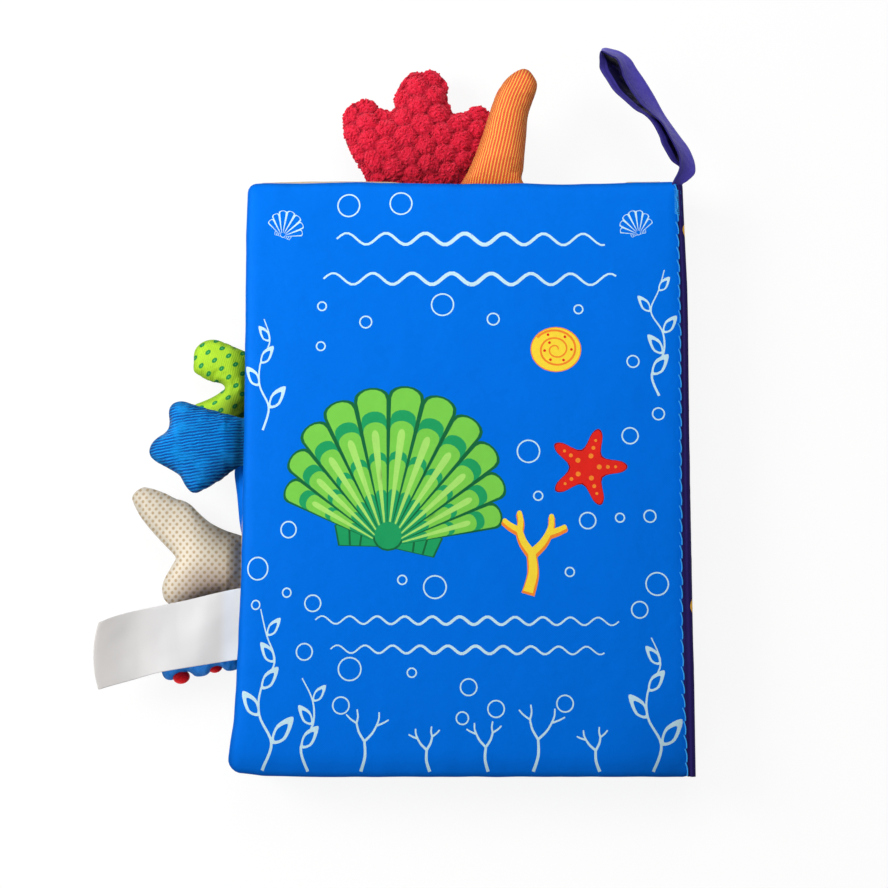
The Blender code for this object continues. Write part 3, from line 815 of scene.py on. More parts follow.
def scallop(inks, line_ink, hinge, radius, turn=0.0, ribs=9, spread=1.28, groove=0.86):
    """A fan shell: ribs with round ends from one hinge, growth bands across them, and two ears."""
    step = 2 * spread / ribs
    middles = [-spread + (i + 0.5) * step for i in range(ribs)]
    line = 0.011 * radius + 0.1

    def at(angle, reach):
        return Vector(polar(hinge, turn + angle, reach))

    def rib(middle, wide, share, grow=0.0):
        """One rib from the hinge to a share of its length, with a round end."""
        half = step / 2 * wide
        reach = share * radius * (0.62 + 0.38 * math.cos(1.1 * middle))
        petal = [at(middle + half, 0.1 * radius), at(middle - half, 0.1 * radius)]
        for t in (-1, -0.88, -0.66, -0.35, 0, 0.35, 0.66, 0.88, 1):
            bow = 0.93 + 0.07 * math.sqrt(max(0.0, 1 - t * t))
            petal.append(at(middle + t * half, reach * bow + grow))
        return petal

    shapes = []
    for side in (-1, 1):
        ear = [at(side * 1.6, 0.04 * radius), at(side * 1.66, 0.29 * radius),
               at(side * 1.3, 0.34 * radius), at(side * 1.0, 0.22 * radius), at(0, 0.1 * radius)]
        middle = sum(ear, Vector((0, 0))) / len(ear)
        shapes.append((line_ink, [p + (p - middle).normalized() * line for p in ear]))
        shapes.append((inks[1], ear))
        for share in (0.5, 0.75):
            start, end = ear[0].lerp(ear[1], share), ear[4].lerp(ear[2], share)
            shapes.append((line_ink, stroke([start, start.lerp(end, 0.5), end], line)))
    shapes += [(line_ink, rib(middle, 1.04, 1.0, line)) for middle in middles]
    shapes.append((line_ink, disc(at(0, 0.07 * radius), 0.085 * radius + line, steps=16)))
    for middle in middles:
        for share, band in ((1.0, 0), (0.86, 1), (0.79, 0), (0.6, 1), (0.55, 0), (0.36, 1)):
            shapes.append((inks[band], rib(middle, groove, share)))
        if len(inks) > 2:
            shapes.append((inks[2], rib(middle, 0.3, 0.74)))
    shapes.append((inks[1], disc(at(0, 0.07 * radius), 0.085 * radius, steps=16)))
    return shapes


# %% The inks
INKS = {
    "sea": srgb(0, 111, 227), "foam": srgb(196, 230, 243), "deep": srgb(0, 78, 190),
    "leaf_green": srgb(122, 205, 78), "shell_green": srgb(34, 158, 96),
    "pale_green": srgb(168, 226, 112), "dark_green": srgb(26, 104, 62), "red": srgb(226, 42, 34),
    "dark_red": srgb(130, 16, 22), "yellow": srgb(250, 218, 62), "orange": srgb(245, 138, 48),
    "brown": srgb(160, 84, 22), "sand": srgb(222, 204, 172), "navy": srgb(36, 29, 86),
    "violet": srgb(86, 72, 168), "aqua": srgb(44, 168, 214), "teal": srgb(20, 134, 150),
    "white": srgb(240, 246, 250),
}
print("inks:", len(INKS))

# %% [markdown]
# ## A padded leaf
#
# The real leaf is two printed cloths sewn face to face, turned, and stuffed with wadding and a sheet
# of crinkle film. So it is one closed form: flat in the middle, rolled at its rim, with a seam round
# its middle height. Small creases gather at the seam, where the thread draws the cloth in.
# %% Leaf sizes
LEAVES = ("front_cover", "leaf_1", "leaf_2", "leaf_3", "back_cover")
LEAF_LEFT, LEAF_RIGHT, LEAF_HALF = -87.5, 86.7, 115.0
LEAF_CENTRE = (LEAF_LEFT + LEAF_RIGHT) / 2
LEAF_HALF_WIDTH = (LEAF_RIGHT - LEAF_LEFT) / 2
CORNER = 3.6
ROLL = 6.5
FOOT_ROLL = 20.0
HALF_THICKNESS = 2.45
LEAF_PITCH = 5.6
FIRST_MIDDLE = 2.5
RIM_INSETS = (0.0, 0.12, 0.4, 0.9, 1.7, 2.8, 4.3, 6.2)
RIM_STEP = 1.7
ROW_SHARE = 0.866


def leaf_middle(number):
    """The height of a leaf's middle, counted from the front cover."""
    return LEAF_PITCH * number + FIRST_MIDDLE


print("leaves:", len(LEAVES), "size in mm:", LEAF_RIGHT - LEAF_LEFT, 2 * LEAF_HALF)

# %% The flat leaf


def leaf_inset(x, y):
    """How far in from the rounded rim a point of the flat leaf lies."""
    across = abs(x - LEAF_CENTRE) - (LEAF_HALF_WIDTH - CORNER)
    up = abs(y) - (LEAF_HALF - CORNER)
    outside = math.hypot(max(across, 0), max(up, 0))
    return CORNER - outside - min(max(across, up), 0)


def rim_loop(inset):
    radius = max(CORNER - inset, 0.6)
    half_x, half_y = LEAF_HALF_WIDTH - inset - radius, LEAF_HALF - inset - radius
    loop = []
    corners = ((half_x, half_y, 0), (-half_x, half_y, 1), (-half_x, -half_y, 2), (half_x, -half_y, 3))
    for number, (x, y, quarter) in enumerate(corners):
        for step in range(5):
            angle = (quarter + step / 4) * math.pi / 2
            loop.append(Vector((
                LEAF_CENTRE + x + radius * math.cos(angle), y + radius * math.sin(angle))))
        following = corners[(number + 1) % 4]
        angle = (quarter + 1) * math.pi / 2
        start = loop[-1]
        end = Vector((
            LEAF_CENTRE + following[0] + radius * math.cos(angle),
            following[1] + radius * math.sin(angle)))
        steps = round((end - start).length / RIM_STEP)
        loop += [start.lerp(end, k / steps) for k in range(1, steps)]
    return loop


def anticlockwise(outline):
    area = sum(
        a.x * b.y - b.x * a.y for a, b in zip(outline, outline[1:] + outline[:1]))
    return outline if area > 0 else outline[::-1]


# %% The flat leaf in triangles


def held_inside(point):
    """A point of the print, kept off the rim's own seam."""
    limit = 0.35
    return Vector((
        min(max(point.x, LEAF_LEFT + limit), LEAF_RIGHT - limit),
        min(max(point.y, -LEAF_HALF + limit), LEAF_HALF - limit)))


def staggered(low, high, spacing):
    """Points in rows of even triangles over a box."""
    return [
        (low[0] + (column + 0.5 * (row % 2)) * spacing, low[1] + row * spacing * ROW_SHARE)
        for row in range(int((high[1] - low[1]) / (spacing * ROW_SHARE)) + 1)
        for column in range(int((high[0] - low[0]) / spacing) + 1)]


def printed_triangles(motifs, spacing):
    """The flat leaf in triangles, split along the print, with each triangle's ink."""
    points, polygons, inks = [], [], []
    for inset in RIM_INSETS:
        loop = rim_loop(inset)
        if not inset:
            polygons.append(list(range(len(loop))))
            inks.append("ground")
        points += loop
    for ink, outline in motifs:
        outline = anticlockwise([Vector(point) for point in outline])
        if any(leaf_inset(point.x, point.y) < 0.3 for point in outline):
            outline = [held_inside(point) for point in outline]
        polygons.append(list(range(len(points), len(points) + len(outline))))
        points += outline
        inks.append(ink)
    tree = KDTree(len(points))
    for i, point in enumerate(points):
        tree.insert((point.x, point.y, 0), i)
    tree.balance()
    for x, y in staggered((LEAF_LEFT, -LEAF_HALF), (LEAF_RIGHT, LEAF_HALF), spacing):
        if leaf_inset(x, y) > RIM_INSETS[-1] + spacing * 0.6:
            if tree.find((x, y, 0))[2] > spacing * 0.3:
                points.append(Vector((x, y)))
    verts, _, faces, _, _, owners = delaunay_2d_cdt(points, [], polygons, 1, 1e-4)
    return verts, faces, [inks[max(owner)] for owner in owners]


# %% Creases, and the leaf's slightly uneven edges


def interpolated(table, value):
    """The table's second column at a value of its first."""
    return float(np.interp(value, [row[0] for row in table], [row[1] for row in table]))


def crease_height(x, y, inset, seed):
    """Slow waves all over, and short puckers that die away from the seam."""
    slow = noise.noise(Vector((x / 52, y / 60, seed * 7.3))) * 0.42
    middle = noise.noise(Vector((x / 19, y / 24, seed * 3.1 + 5))) * 0.17
    along = x if abs(y) / LEAF_HALF > abs(x) / LEAF_HALF_WIDTH else y
    pucker = noise.noise(Vector((along / 6.5, inset / 26, seed * 2.7 + 9)))
    gather = math.exp(-inset / 7.5) * min(1.0, inset / 1.2)
    return (slow + middle) * min(1.0, inset / 14) + 0.42 * pucker * gather


def warped(x, y, edges, seed):
    """Moves a flat point with the edge that it is near, as the photograph's edges run."""
    def near(distance):
        return max(0.0, 1 - distance / 38) ** 2

    move_x = near(x - LEAF_LEFT) * interpolated(edges["fore"], y)
    move_x += near(LEAF_RIGHT - x) * interpolated(edges["spine"], y)
    move_y = near(LEAF_HALF - y) * interpolated(edges["head"], x)
    move_y += near(y + LEAF_HALF) * interpolated(edges["foot"], x)
    wobble_x = noise.noise(Vector((y / 9, 0, seed * 5.1))) * 0.16
    wobble_y = noise.noise(Vector((x / 9, 3, seed * 5.1))) * 0.16
    move_x += wobble_x * (near(x - LEAF_LEFT) + near(LEAF_RIGHT - x))
    move_y += wobble_y * (near(LEAF_HALF - y) + near(y + LEAF_HALF))
    return x + move_x, y + move_y


# %% One leaf's mesh


def add_attribute(piece, name, values, kind="FLOAT", domain="POINT"):
    field = {"FLOAT": "value", "FLOAT_VECTOR": "vector", "FLOAT_COLOR": "color"}[kind]
    attribute = piece.data.attributes.new(name, kind, domain)
    attribute.data.foreach_set(field, np.asarray(values, np.float32).ravel())


def new_piece(name, points, faces, material):
    """A smooth object of one material."""
    piece = new_object(name, points, faces=faces)
    piece.data.materials.append(material)
    piece.data.shade_smooth()
    return piece


CROWN_WIDTH, CROWN_LENGTH, CROWN_RISE = 190, 122, 20
FOOT_DROP = 0.9
AT_SEAM = 0.01
FACES_APART = 40


def leaf_height(x, y, inset, side, crown, seed):
    """Half the leaf's thickness at a place: rolled at its rim, creased, and crowned on top."""
    short = 1 - min(1.0, inset / ROLL)
    height = HALF_THICKNESS * math.sqrt(1 - short * short)
    if inset <= AT_SEAM:
        return height
    crowned = crown and side == 1
    height += crease_height(x, y, inset, seed + side) * (0.85 if crowned else 0.4)
    if crowned:
        fade = (1 - (2 * (x - LEAF_CENTRE) / CROWN_WIDTH) ** 2) * (1 - (y / CROWN_LENGTH) ** 2)
        height += crown * max(0.0, fade) ** 0.7 * min(1.0, inset / CROWN_RISE)
        foot_roll = max(0.0, 1 - (y + LEAF_HALF) / FOOT_ROLL)
        height -= FOOT_DROP * foot_roll ** 2 * min(1.0, inset / 3)
    return height


def padded_leaf(name, number, prints, grounds, edges, crown, spacing, material, seed):
    """One leaf, its upper and lower prints meeting at the seam."""
    middle = leaf_middle(number)
    points, place, rims, faces, colours = [], [], [], [], []
    seam_points = {}
    for side, motifs, ground in zip((1, -1), prints, grounds):
        verts, triangles, inks = printed_triangles(motifs, spacing)
        index = []
        for vert in verts:
            inset = max(0.0, leaf_inset(vert.x, vert.y))
            key = (round(vert.x, 3), round(vert.y, 3))
            if inset < AT_SEAM and key in seam_points:
                index.append(seam_points[key])
                continue
            height = leaf_height(vert.x, vert.y, inset, side, crown, seed)
            index.append(len(points))
            if inset < AT_SEAM:
                seam_points[key] = index[-1]
            points.append((*warped(vert.x, vert.y, edges, seed), middle + side * height))
            place.append((vert.x, vert.y, side * FACES_APART))
            rims.append(inset)
        for triangle, ink in zip(triangles, inks):
            corners = [index[i] for i in triangle]
            faces.append(corners if side == 1 else corners[::-1])
            colours.append((*INKS[ground if ink == "ground" else ink], 1))
    piece = new_piece(name, points, faces, material)
    add_attribute(piece, "cloth_place", place, "FLOAT_VECTOR")
    add_attribute(piece, "rim", rims)
    add_attribute(piece, "print", np.repeat(colours, 3, axis=0), "FLOAT_COLOR", "CORNER")
    print(name, "triangles:", len(faces))
    return piece


# %% [markdown]
# ## The prints
#
# The covers and pages carry a plain sea-floor pattern: shells, starfish, coral, kelp, bubbles and
# water lines. The same motifs in other sizes and colours make a different picture on each spread.
# %% Back cover


def back_cover_print():
    """White lines over the whole cloth, and one large shell with a few small finds round it."""
    shapes = []
    for start, length in (((-50, 92), 106), ((-55, 76), 116)):
        shapes += ripple("foam", start, length, 2.3, 15.5, 1.6)
    for start, length in (((-56, -57), 116), ((-50, -68), 104)):
        shapes += ripple("foam", start, length, 1.5, 10.5, 1.15)
    for root, height, sway, leaves, width in (
            ((-75, -113), 60, 3.4, 6, 1.1), ((-58, -113), 34, -2.8, 4, 1.1),
            ((72, -113), 50, 3.2, 5, 1.1), ((-79, 16), 44, 2.6, 5, 0.95),
            ((76, 30), 50, -3.0, 6, 0.95)):
        shapes += kelp("foam", root, height, sway, leaves, width)
    for x, height, lean in ((-38, 11, 0.12), (-12, 8, -0.15), (10, 9, -0.1), (27, 12, 0.15),
                            (52, 8, -0.2)):
        shapes += coral("foam", (x, -113), height, lean)
    for x, y, size, turn in ((-72, 93, 10.5, 0.35), (69, 94, 9.5, -0.3)):
        shapes += scallop(("ground", "ground"), "foam", (x, y), size, turn, 7, 1.2, 0.72)
    shapes += scallop(
        ("leaf_green", "shell_green", "pale_green"), "dark_green", (-29, -29), 62, 0.12, 11)
    shapes += starfish("red", "dark_red", "orange", (48, 2), 15, 0.3)
    shapes += snail_shell("yellow", "orange", "red", (36, 48), 9.5)
    shapes += coral("orange", (25, -47), 15, 0.1, 0.6, 3, 5.2)
    shapes += coral("yellow", (25, -46), 15, 0.1, 0.6, 3, 3.8)
    keep_out = [
        (-25, 6, 50, 44), (48, 2, 19, 19), (36, 48, 13, 13), (25, -30, 17, 19),
        (4, 84, 72, 18), (3, -62, 72, 14), (-74, -85, 13, 36), (-58, -95, 10, 22),
        (74, -88, 12, 32), (-78, 40, 10, 30), (76, 56, 10, 32), (-37, -104, 13, 17),
        (-11, -105, 12, 14), (11, -105, 12, 15), (28, -103, 13, 18), (52, -105, 12, 14),
        (-70, 99, 12, 12), (67, 99, 11, 12)]
    shapes += scattered_rings("foam", 17, 34, keep_out, (-81, -98, 80, 108))
    return shapes


def page_print(seed, ink, accents, kelp_ink):
    """A page: kelp along its foot, one or two shells or stars, and bubbles above."""
    rng = np.random.default_rng(seed)
    shapes = []
    for x in (-72, -52, 50, 70):
        height = 45 + 30 * float(rng.random())
        shapes += kelp(kelp_ink, (x, -112), height, 3.5, 5, 1.2)
    keep_out = [(-62, -80, 26, 44), (60, -80, 26, 44)]
    for kind, place, size, inks in accents:
        if kind == "star":
            shapes += starfish(*inks, place, size, float(rng.random()))
        elif kind == "scallop":
            shapes += scallop(inks[:2], inks[2], (place[0], place[1] - size / 2), size)
        elif kind == "snail":
            shapes += snail_shell(*inks, place, size)
        else:
            shapes += coral(inks[0], (place[0], place[1] - size), size, 0.1, 0.6, 3, 2.6)
        keep_out.append((place[0], place[1], size * 1.5, size * 1.5))
    shapes += ripple(ink, (-62, 96), 124, 2.2, 18, 1.4)
    keep_out.append((0, 96, 76, 8))
    shapes += scattered_rings(ink, seed, 16, keep_out, (-78, -95, 78, 105))
    return shapes


def mirrored(shapes):
    """The same picture as it is printed on the cloth's other side, seen from above."""
    return [(ink, [Vector((-x, y)) for x, y in outline]) for ink, outline in shapes]


SPREADS = {
    "beach": page_print(3, "white", [
        ("scallop", (0, 10), 44, ("orange", "sand", "brown")),
        ("star", (30, 62), 16, ("red", "dark_red", "yellow"))], "teal"),
    "reef": page_print(5, "foam", [
        ("coral", (0, 0), 26, ("orange",)),
        ("snail", (-30, 50), 13, ("yellow", "orange", "red"))], "leaf_green"),
    "lagoon": page_print(8, "white", [
        ("star", (5, 5), 28, ("yellow", "orange", "red")),
        ("scallop", (-34, 60), 22, ("white", "sand", "brown"))], "shell_green"),
    "deep_sea": page_print(13, "foam", [
        ("snail", (0, 12), 22, ("orange", "brown", "yellow")),
        ("coral", (36, 40), 14, ("red",))], "violet"),
    "night": page_print(21, "foam", [
        ("star", (0, 0), 34, ("yellow", "orange", "red")),
        ("star", (-44, 62), 14, ("orange", "brown", "yellow"))], "violet"),
}
SPINE_LEAN = ((-115, -1.3), (-111, -0.9), (-100, -0.7), (-60, -0.6), (0, -0.8), (50, -1.1), (70, -1.3),
              (95, -1.8), (110, -2.1), (115, -2.2))
PLAIN_EDGES = {"fore": ((-115, 1.4), (115, 1.5)), "spine": ((-115, -0.2), (115, -0.3)),
               "head": ((-88, -0.4), (88, -0.4)), "foot": ((-88, 0.6), (88, 0.5))}

# %% The five leaves
back_cover_edges = {
    "fore": ((-115, -0.4), (-110.6, -1), (-97, 0.6), (-84, 1.4), (-71, 1.6), (-57, 2),
             (-43, 2.3), (-24, 2.35), (-11, 2.2), (20, 2.2), (51, 1.85), (71, 1.55), (95, 1.25),
             (115, 1.5)),
    "spine": ((-115, 0.3), (-80, 0.3), (-40, -0.2), (0, -0.2), (60, 0.1), (74, 0), (95, -0.7),
              (115, -1.3)),
    "head": ((-88, 0.4), (-80, 0.7), (-65, 0.6), (-44, 1.2), (-25, 0.8), (0, 0.5), (24, 0.8),
             (38, 0.3), (54, 0.7), (70, 1.2), (84, 1.5)),
    "foot": ((-88, 1.4), (-84, 0.4), (-75, -0.7), (-53, -1), (-23, -0.7), (7, -0.5), (37, -0.3),
             (67, -0.1), (82, 0)),
}
leaning_edges = dict(PLAIN_EDGES, spine=tuple((y, lean - 0.2) for y, lean in SPINE_LEAN))
beach_edges = dict(leaning_edges, head=(
    (-88, -0.4), (-82, 2.6), (-60, 3.2), (-30, 3.1), (-8, 1.0), (30, -0.4), (58, 0.8), (66, 3.2),
    (80, 3.3), (87, 0.4)))
reef_edges = dict(leaning_edges, fore=(
    (-115, 1.6), (-34, 1.6), (-24, 0.6), (-18, -0.4), (-8, -1.6), (0, -2.9), (6, -2.6), (12, 0.6),
    (18, 1.4), (115, 1.5)))

# Each leaf: upper print and ground, lower print and ground, edges, crown and mesh spacing.
LEAF_FORMS = {
    "back_cover": (back_cover_print(), "sea", "beach", "sand", back_cover_edges, 1.5, 2.3),
    "leaf_3": (SPREADS["beach"], "sand", "reef", "aqua", beach_edges, 0, 4.2),
    "leaf_2": (SPREADS["reef"], "sea", "lagoon", "teal", reef_edges, 0, 4.2),
    "leaf_1": (SPREADS["lagoon"], "teal", "deep_sea", "deep", leaning_edges, 0, 4.2),
    "front_cover": (SPREADS["deep_sea"], "deep", "night", "navy", PLAIN_EDGES, 0, 4.2),
}
leaf_pieces = {}
for seed, (leaf, form) in enumerate(LEAF_FORMS.items(), 1):
    upper, ground, lower, lower_ground, edges, crown, spacing = form
    is_cover = "cover" in leaf
    piece = padded_leaf(
        leaf + ("_leaf" if is_cover else "_padded"), LEAVES.index(leaf),
        (upper, mirrored(SPREADS[lower])), (ground, lower_ground), edges, crown, spacing,
        cover_cloth if is_cover else page_cloth, seed)
    leaf_pieces[leaf] = piece
    hidden = ("inner_panel", "outer_panel") if is_cover else ("lower_page", "upper_page")
    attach(piece, leaf + "_body")
    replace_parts(piece, *[leaf + "_" + part for part in (*hidden, "wadding", "crinkle_film")])

# %% [markdown]
# ## Stuffed forms from flat outlines
#
# A tail is two cloths sewn round an outline, turned and stuffed. Its height over the outline is the
# shape of a blown-up bag: the root of a Poisson solution, which is zero at the seam and highest far
# from it. A short cloth simulation then lets the cloth, cut a little too large, crease between its
# seams as it fills. The seam itself is held where the photograph shows the outline.
# %% Flat helpers


def evenly(line, step, closed=False):
    """The same line in steps of one length."""
    line = line + line[:1] if closed else line
    reach = [0.0]
    for one, other in zip(line, line[1:]):
        reach.append(reach[-1] + (other - one).length)
    count = max(2, round(reach[-1] / step))
    found, i = [], 0
    for k in range(count if closed else count + 1):
        want = reach[-1] * k / count
        while i < len(reach) - 2 and reach[i + 1] < want:
            i += 1
        found.append(line[i].lerp(line[i + 1], (want - reach[i]) / max(
            reach[i + 1] - reach[i], 1e-9)))
    return found


def outline_distance(spots, outline):
    """How far each spot is from the outline, and whether it lies inside."""
    spots = np.asarray(spots, float)
    starts = np.array([(p.x, p.y) for p in outline])
    ends = np.roll(starts, -1, axis=0)
    best = np.full(len(spots), 1e9)
    inside = np.zeros(len(spots), bool)
    for a, b in zip(starts, ends):
        step = b - a
        share = np.clip((spots - a) @ step / max(step @ step, 1e-12), 0, 1)
        best = np.minimum(best, np.hypot(*(spots - a - share[:, None] * step).T))
        crosses = (a[1] > spots[:, 1]) != (b[1] > spots[:, 1])
        rise = step[1] if step[1] else 1e-12
        inside ^= crosses & (spots[:, 0] < a[0] + (spots[:, 1] - a[1]) * step[0] / rise)
    return best, inside


# %% A flat pattern in triangles, and how high it blows up


def outline_mesh(outline, spacing):
    """Triangles inside an outline, in rows near its rim so that the rim can be rolled."""
    outline = anticlockwise(outline)
    points = list(outline)
    for inset in (0.12, 0.4, 0.9, 1.6):
        row = []
        for before, point, after in zip(outline[-1:] + outline, outline, outline[1:] + outline[:1]):
            side = (after - before).normalized()
            row.append(point + Vector((-side.y, side.x)) * inset)
        gaps, inside = outline_distance([tuple(p) for p in row], outline)
        points += [p for p, gap, within in zip(row, gaps, inside) if within and gap > inset * 0.9]
    low = (min(p.x for p in outline), min(p.y for p in outline))
    high = (max(p.x for p in outline), max(p.y for p in outline))
    grid = staggered(low, high, spacing)
    gaps, inside = outline_distance(grid, outline)
    points += [Vector(p) for p, gap, within in zip(grid, gaps, inside)
               if within and gap > 1.6 + spacing * 0.5]
    verts, _, faces, _, _, _ = delaunay_2d_cdt(
        points, [], [list(range(len(outline)))], 1, 1e-4)
    gaps, _ = outline_distance([tuple(p) for p in verts], outline)
    return verts, faces, gaps


def bag_height(verts, faces, gaps):
    """The height of a blown-up bag over its flat pattern, from 0 at its seam to 1."""
    flat = np.array([tuple(p) for p in verts])
    corners = np.array(faces)
    load = np.zeros(len(flat))
    ones, others, weights = [], [], []
    for k in range(3):
        top, one, other = corners[:, k], corners[:, (k + 1) % 3], corners[:, (k + 2) % 3]
        a, b = flat[one] - flat[top], flat[other] - flat[top]
        cross = np.maximum(np.abs(a[:, 0] * b[:, 1] - a[:, 1] * b[:, 0]), 1e-6)
        np.add.at(load, top, cross / 6)
        ones.append(one)
        others.append(other)
        weights.append(0.5 * np.sum(a * b, axis=1) / cross)
    one, other, weight = (np.concatenate(part) for part in (ones, others, weights))
    free = gaps > 1e-3

    def pull(values):
        flow = weight * (values[one] - values[other])
        total = np.bincount(one, flow, len(flat)) - np.bincount(other, flow, len(flat))
        return total * free

    answer = np.zeros(len(flat))
    rest = load * free
    step = rest.copy()
    size = rest @ rest
    for _ in range(600):
        pulled = pull(step)
        share = size / (step @ pulled)
        answer += share * step
        rest = rest - share * pulled
        following = rest @ rest
        if following < 1e-12 * size or following < 1e-16:
            break
        step = rest + following / size * step
        size = following
    answer = np.maximum(answer, 0)
    return np.sqrt(answer / answer.max())


# %% The cloth simulation
SIM_SCALE = 0.02
SIM_FRAMES = 20
CLOTH_SETTINGS = {
    "quality": 5, "mass": 0.15, "tension_stiffness": 20, "compression_stiffness": 20,
    "shear_stiffness": 8, "bending_stiffness": 0.02, "air_damping": 2, "vertex_group_mass": "held",
    "use_pressure": True, "uniform_pressure_force": 4.0}


def puffed(name, points, faces, held, growth, cap):
    """Creased points: the held ones stay, the others fill out by no more than the cap."""
    cloth_object = new_object(name + "_sim", points, faces=faces, scale=SIM_SCALE)
    mesh = cloth_object.data
    group = cloth_object.vertex_groups.new(name="held")
    group.add([i for i, fixed in enumerate(held) if fixed], 1.0, "REPLACE")
    cloth = cloth_object.modifiers.new("cloth", "CLOTH")
    for setting, value in CLOTH_SETTINGS.items():
        setattr(cloth.settings, setting, value)
    cloth.settings.shrink_min = -growth
    cloth.settings.effector_weights.gravity = 0
    cloth.collision_settings.use_collision = False
    cloth.point_cache.frame_start = 1
    cloth.point_cache.frame_end = SIM_FRAMES
    for frame_number in range(1, SIM_FRAMES + 1):
        scene.frame_set(frame_number)
    settled = cloth_object.evaluated_get(bpy.context.evaluated_depsgraph_get())
    found = mesh_points(settled.data)
    bpy.data.objects.remove(cloth_object)
    bpy.data.meshes.remove(mesh)
    scene.frame_set(1)
    start = np.array([tuple(p) for p in points])
    move = found / SIM_SCALE - start
    length = np.linalg.norm(move, axis=1, keepdims=True)
    move *= np.tanh(length / cap) * cap / np.maximum(length, 1e-9)
    moved = np.linalg.norm(move, axis=1)
    print(name, "cloth moved up to", round(float(moved.max()), 2), "mm")
    return [Vector(point) for point in start + move]


# %% Where each tail and ribbon is sewn in
SEAM_Y = 115.4
SEAM_X = -87.9
SEAM_STEP = 0.9
# How far each form goes on behind its edge.
ROOT_DEPTH = {"head": -3.2, "fore": -4.4}
# Keeps the patterns on a form's two cloths apart.
SIDES_APART = 20
# The edge, the place along it in millimetres, and the leaf that holds the seam.
SEAMS = {
    "bobble_fan_tail": ("head", -19.495, "leaf_2"),
    "striped_curved_tail": ("head", 11.795, "leaf_3"),
    "dotted_forked_tail": ("fore", 36.501, "leaf_1"),
    "ribbed_star_tail": ("fore", 12.397, "leaf_3"),
    "spotted_fluke_tail": ("fore", -33.994, "leaf_2"),
    "sucker_tentacle_tail": ("fore", -67.206, "leaf_1"),
    "care_label": ("fore", -58.604, "leaf_3"),
    "strap_loop": ("head", 83.0, "back_cover"),
}


def at_seam(name, point):
    """From across, out and up at a seam to the book's own place, in millimetres."""
    edge, along, leaf = SEAMS[name]
    across, out, up = point
    height = leaf_middle(LEAVES.index(leaf)) + up
    if edge == "head":
        return Vector((along + across, SEAM_Y + out, height))
    return Vector((SEAM_X - out, along + across, height))


def seam_blend(piece):
    """Bakes the piece's place into its mesh."""
    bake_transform(piece)


print("seams for tails and ribbons:", len(SEAMS))

# %% Stuffing a form


def stuffed_form(name, outline, thickness, rise, spacing, neck=6.0, power=0.5, growth=0.05, cap=1.1,
                 ridge=1.0):
    """A stuffed form about its seam's axis: points, faces, their rim gaps and their places."""
    edge = SEAMS[name][0]
    line = evenly(flowing(outline if edge == "head" else outline[::-1], 6), SEAM_STEP)
    root = [Vector((point.x, ROOT_DEPTH[edge])) for point in (line[-1], line[0])]
    line += evenly([line[-1], *root, line[0]], SEAM_STEP)[1:-1]
    verts, faces, gaps = outline_mesh(line, spacing)
    height = bag_height(verts, faces, gaps) ** ridge
    length = max(p.y for p in line)
    points, place, rims, seam = [], [], [], {}
    all_faces = []
    for side in (1, -1):
        index = []
        for i, (vert, gap, share) in enumerate(zip(verts, gaps, height)):
            if gap < 1e-3 and i in seam:
                index.append(seam[i])
                continue
            pinch = min(1.0, max(0.03, (vert.y + 0.6) / neck)) ** power
            if vert.y < 0:
                pinch *= 0.6
            centre = rise * (max(0.0, vert.y) / length) ** 2
            index.append(len(points))
            if gap < 1e-3:
                seam[i] = index[-1]
            points.append(Vector((vert.x, vert.y, centre + side * share * pinch * thickness / 2)))
            place.append((vert.x, vert.y, side * SIDES_APART))
            rims.append(min(gap, max(0.0, vert.y + 0.4)))
        for face in faces:
            corners = [index[i] for i in face]
            all_faces.append(corners if side == 1 else corners[::-1])
    sewn = set(seam.values())
    held = [i in sewn or place[i][1] < 0.5 for i in range(len(points))]
    points = puffed(name, points, all_faces, held, growth, cap)
    return points, all_faces, np.array(rims), place


def point_normals(points, faces):
    """A unit normal at each point, weighted by the faces round it."""
    spots = np.array([tuple(p) for p in points])
    corners = np.array(faces)
    cross = np.cross(
        spots[corners[:, 1]] - spots[corners[:, 0]], spots[corners[:, 2]] - spots[corners[:, 0]])
    total = np.zeros_like(spots)
    for k in range(3):
        np.add.at(total, corners[:, k], cross)
    return total / np.maximum(np.linalg.norm(total, axis=1, keepdims=True), 1e-12)


def sewn_tail(name, form, material, extra=(), finish=None, crosswise=False):
    """The finished tail: its attributes and its place."""
    points, faces, rims, place = form
    if crosswise:
        place = [(out, across, side) for across, out, side in place]
    piece = new_piece(name + "_padded", [at_seam(name, p) for p in points], faces, material)
    add_attribute(piece, "cloth_place", place, "FLOAT_VECTOR")
    add_attribute(piece, "rim", rims)
    for label, values in dict(extra).items():
        add_attribute(piece, label, values)
    if finish:
        finish(piece)
    seam_blend(piece)
    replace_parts(piece, name + "_skin", name + "_filling")
    print(name, "faces:", len(piece.data.polygons))


# %% [markdown]
# ## Geometry Nodes for what repeats
#
# Tufts, suckers and stitches are each one small shape, repeated. A node tree places the copies on a
# helper mesh and makes them real, and the result is kept as a plain mesh.
# %% Tree helpers
FAR_FROM_SEAM = 5.0


def geometry_tree(name, inputs):
    """A tree with a geometry and these named inputs. Returns it, its ends and its sockets' names."""
    tree = bpy.data.node_groups.new(name, "GeometryNodeTree")
    tree.interface.new_socket("Geometry", in_out="INPUT", socket_type="NodeSocketGeometry")
    sockets = {}
    for label, kind, value in (*inputs, ("Material", "NodeSocketMaterial", None)):
        socket = tree.interface.new_socket(label, in_out="INPUT", socket_type=kind)
        if value is not None:
            socket.default_value = value
        sockets[label] = socket.identifier
    tree.interface.new_socket("Geometry", in_out="OUTPUT", socket_type="NodeSocketGeometry")
    return tree, put(tree, "NodeGroupInput").outputs, put(tree, "NodeGroupOutput"), sockets


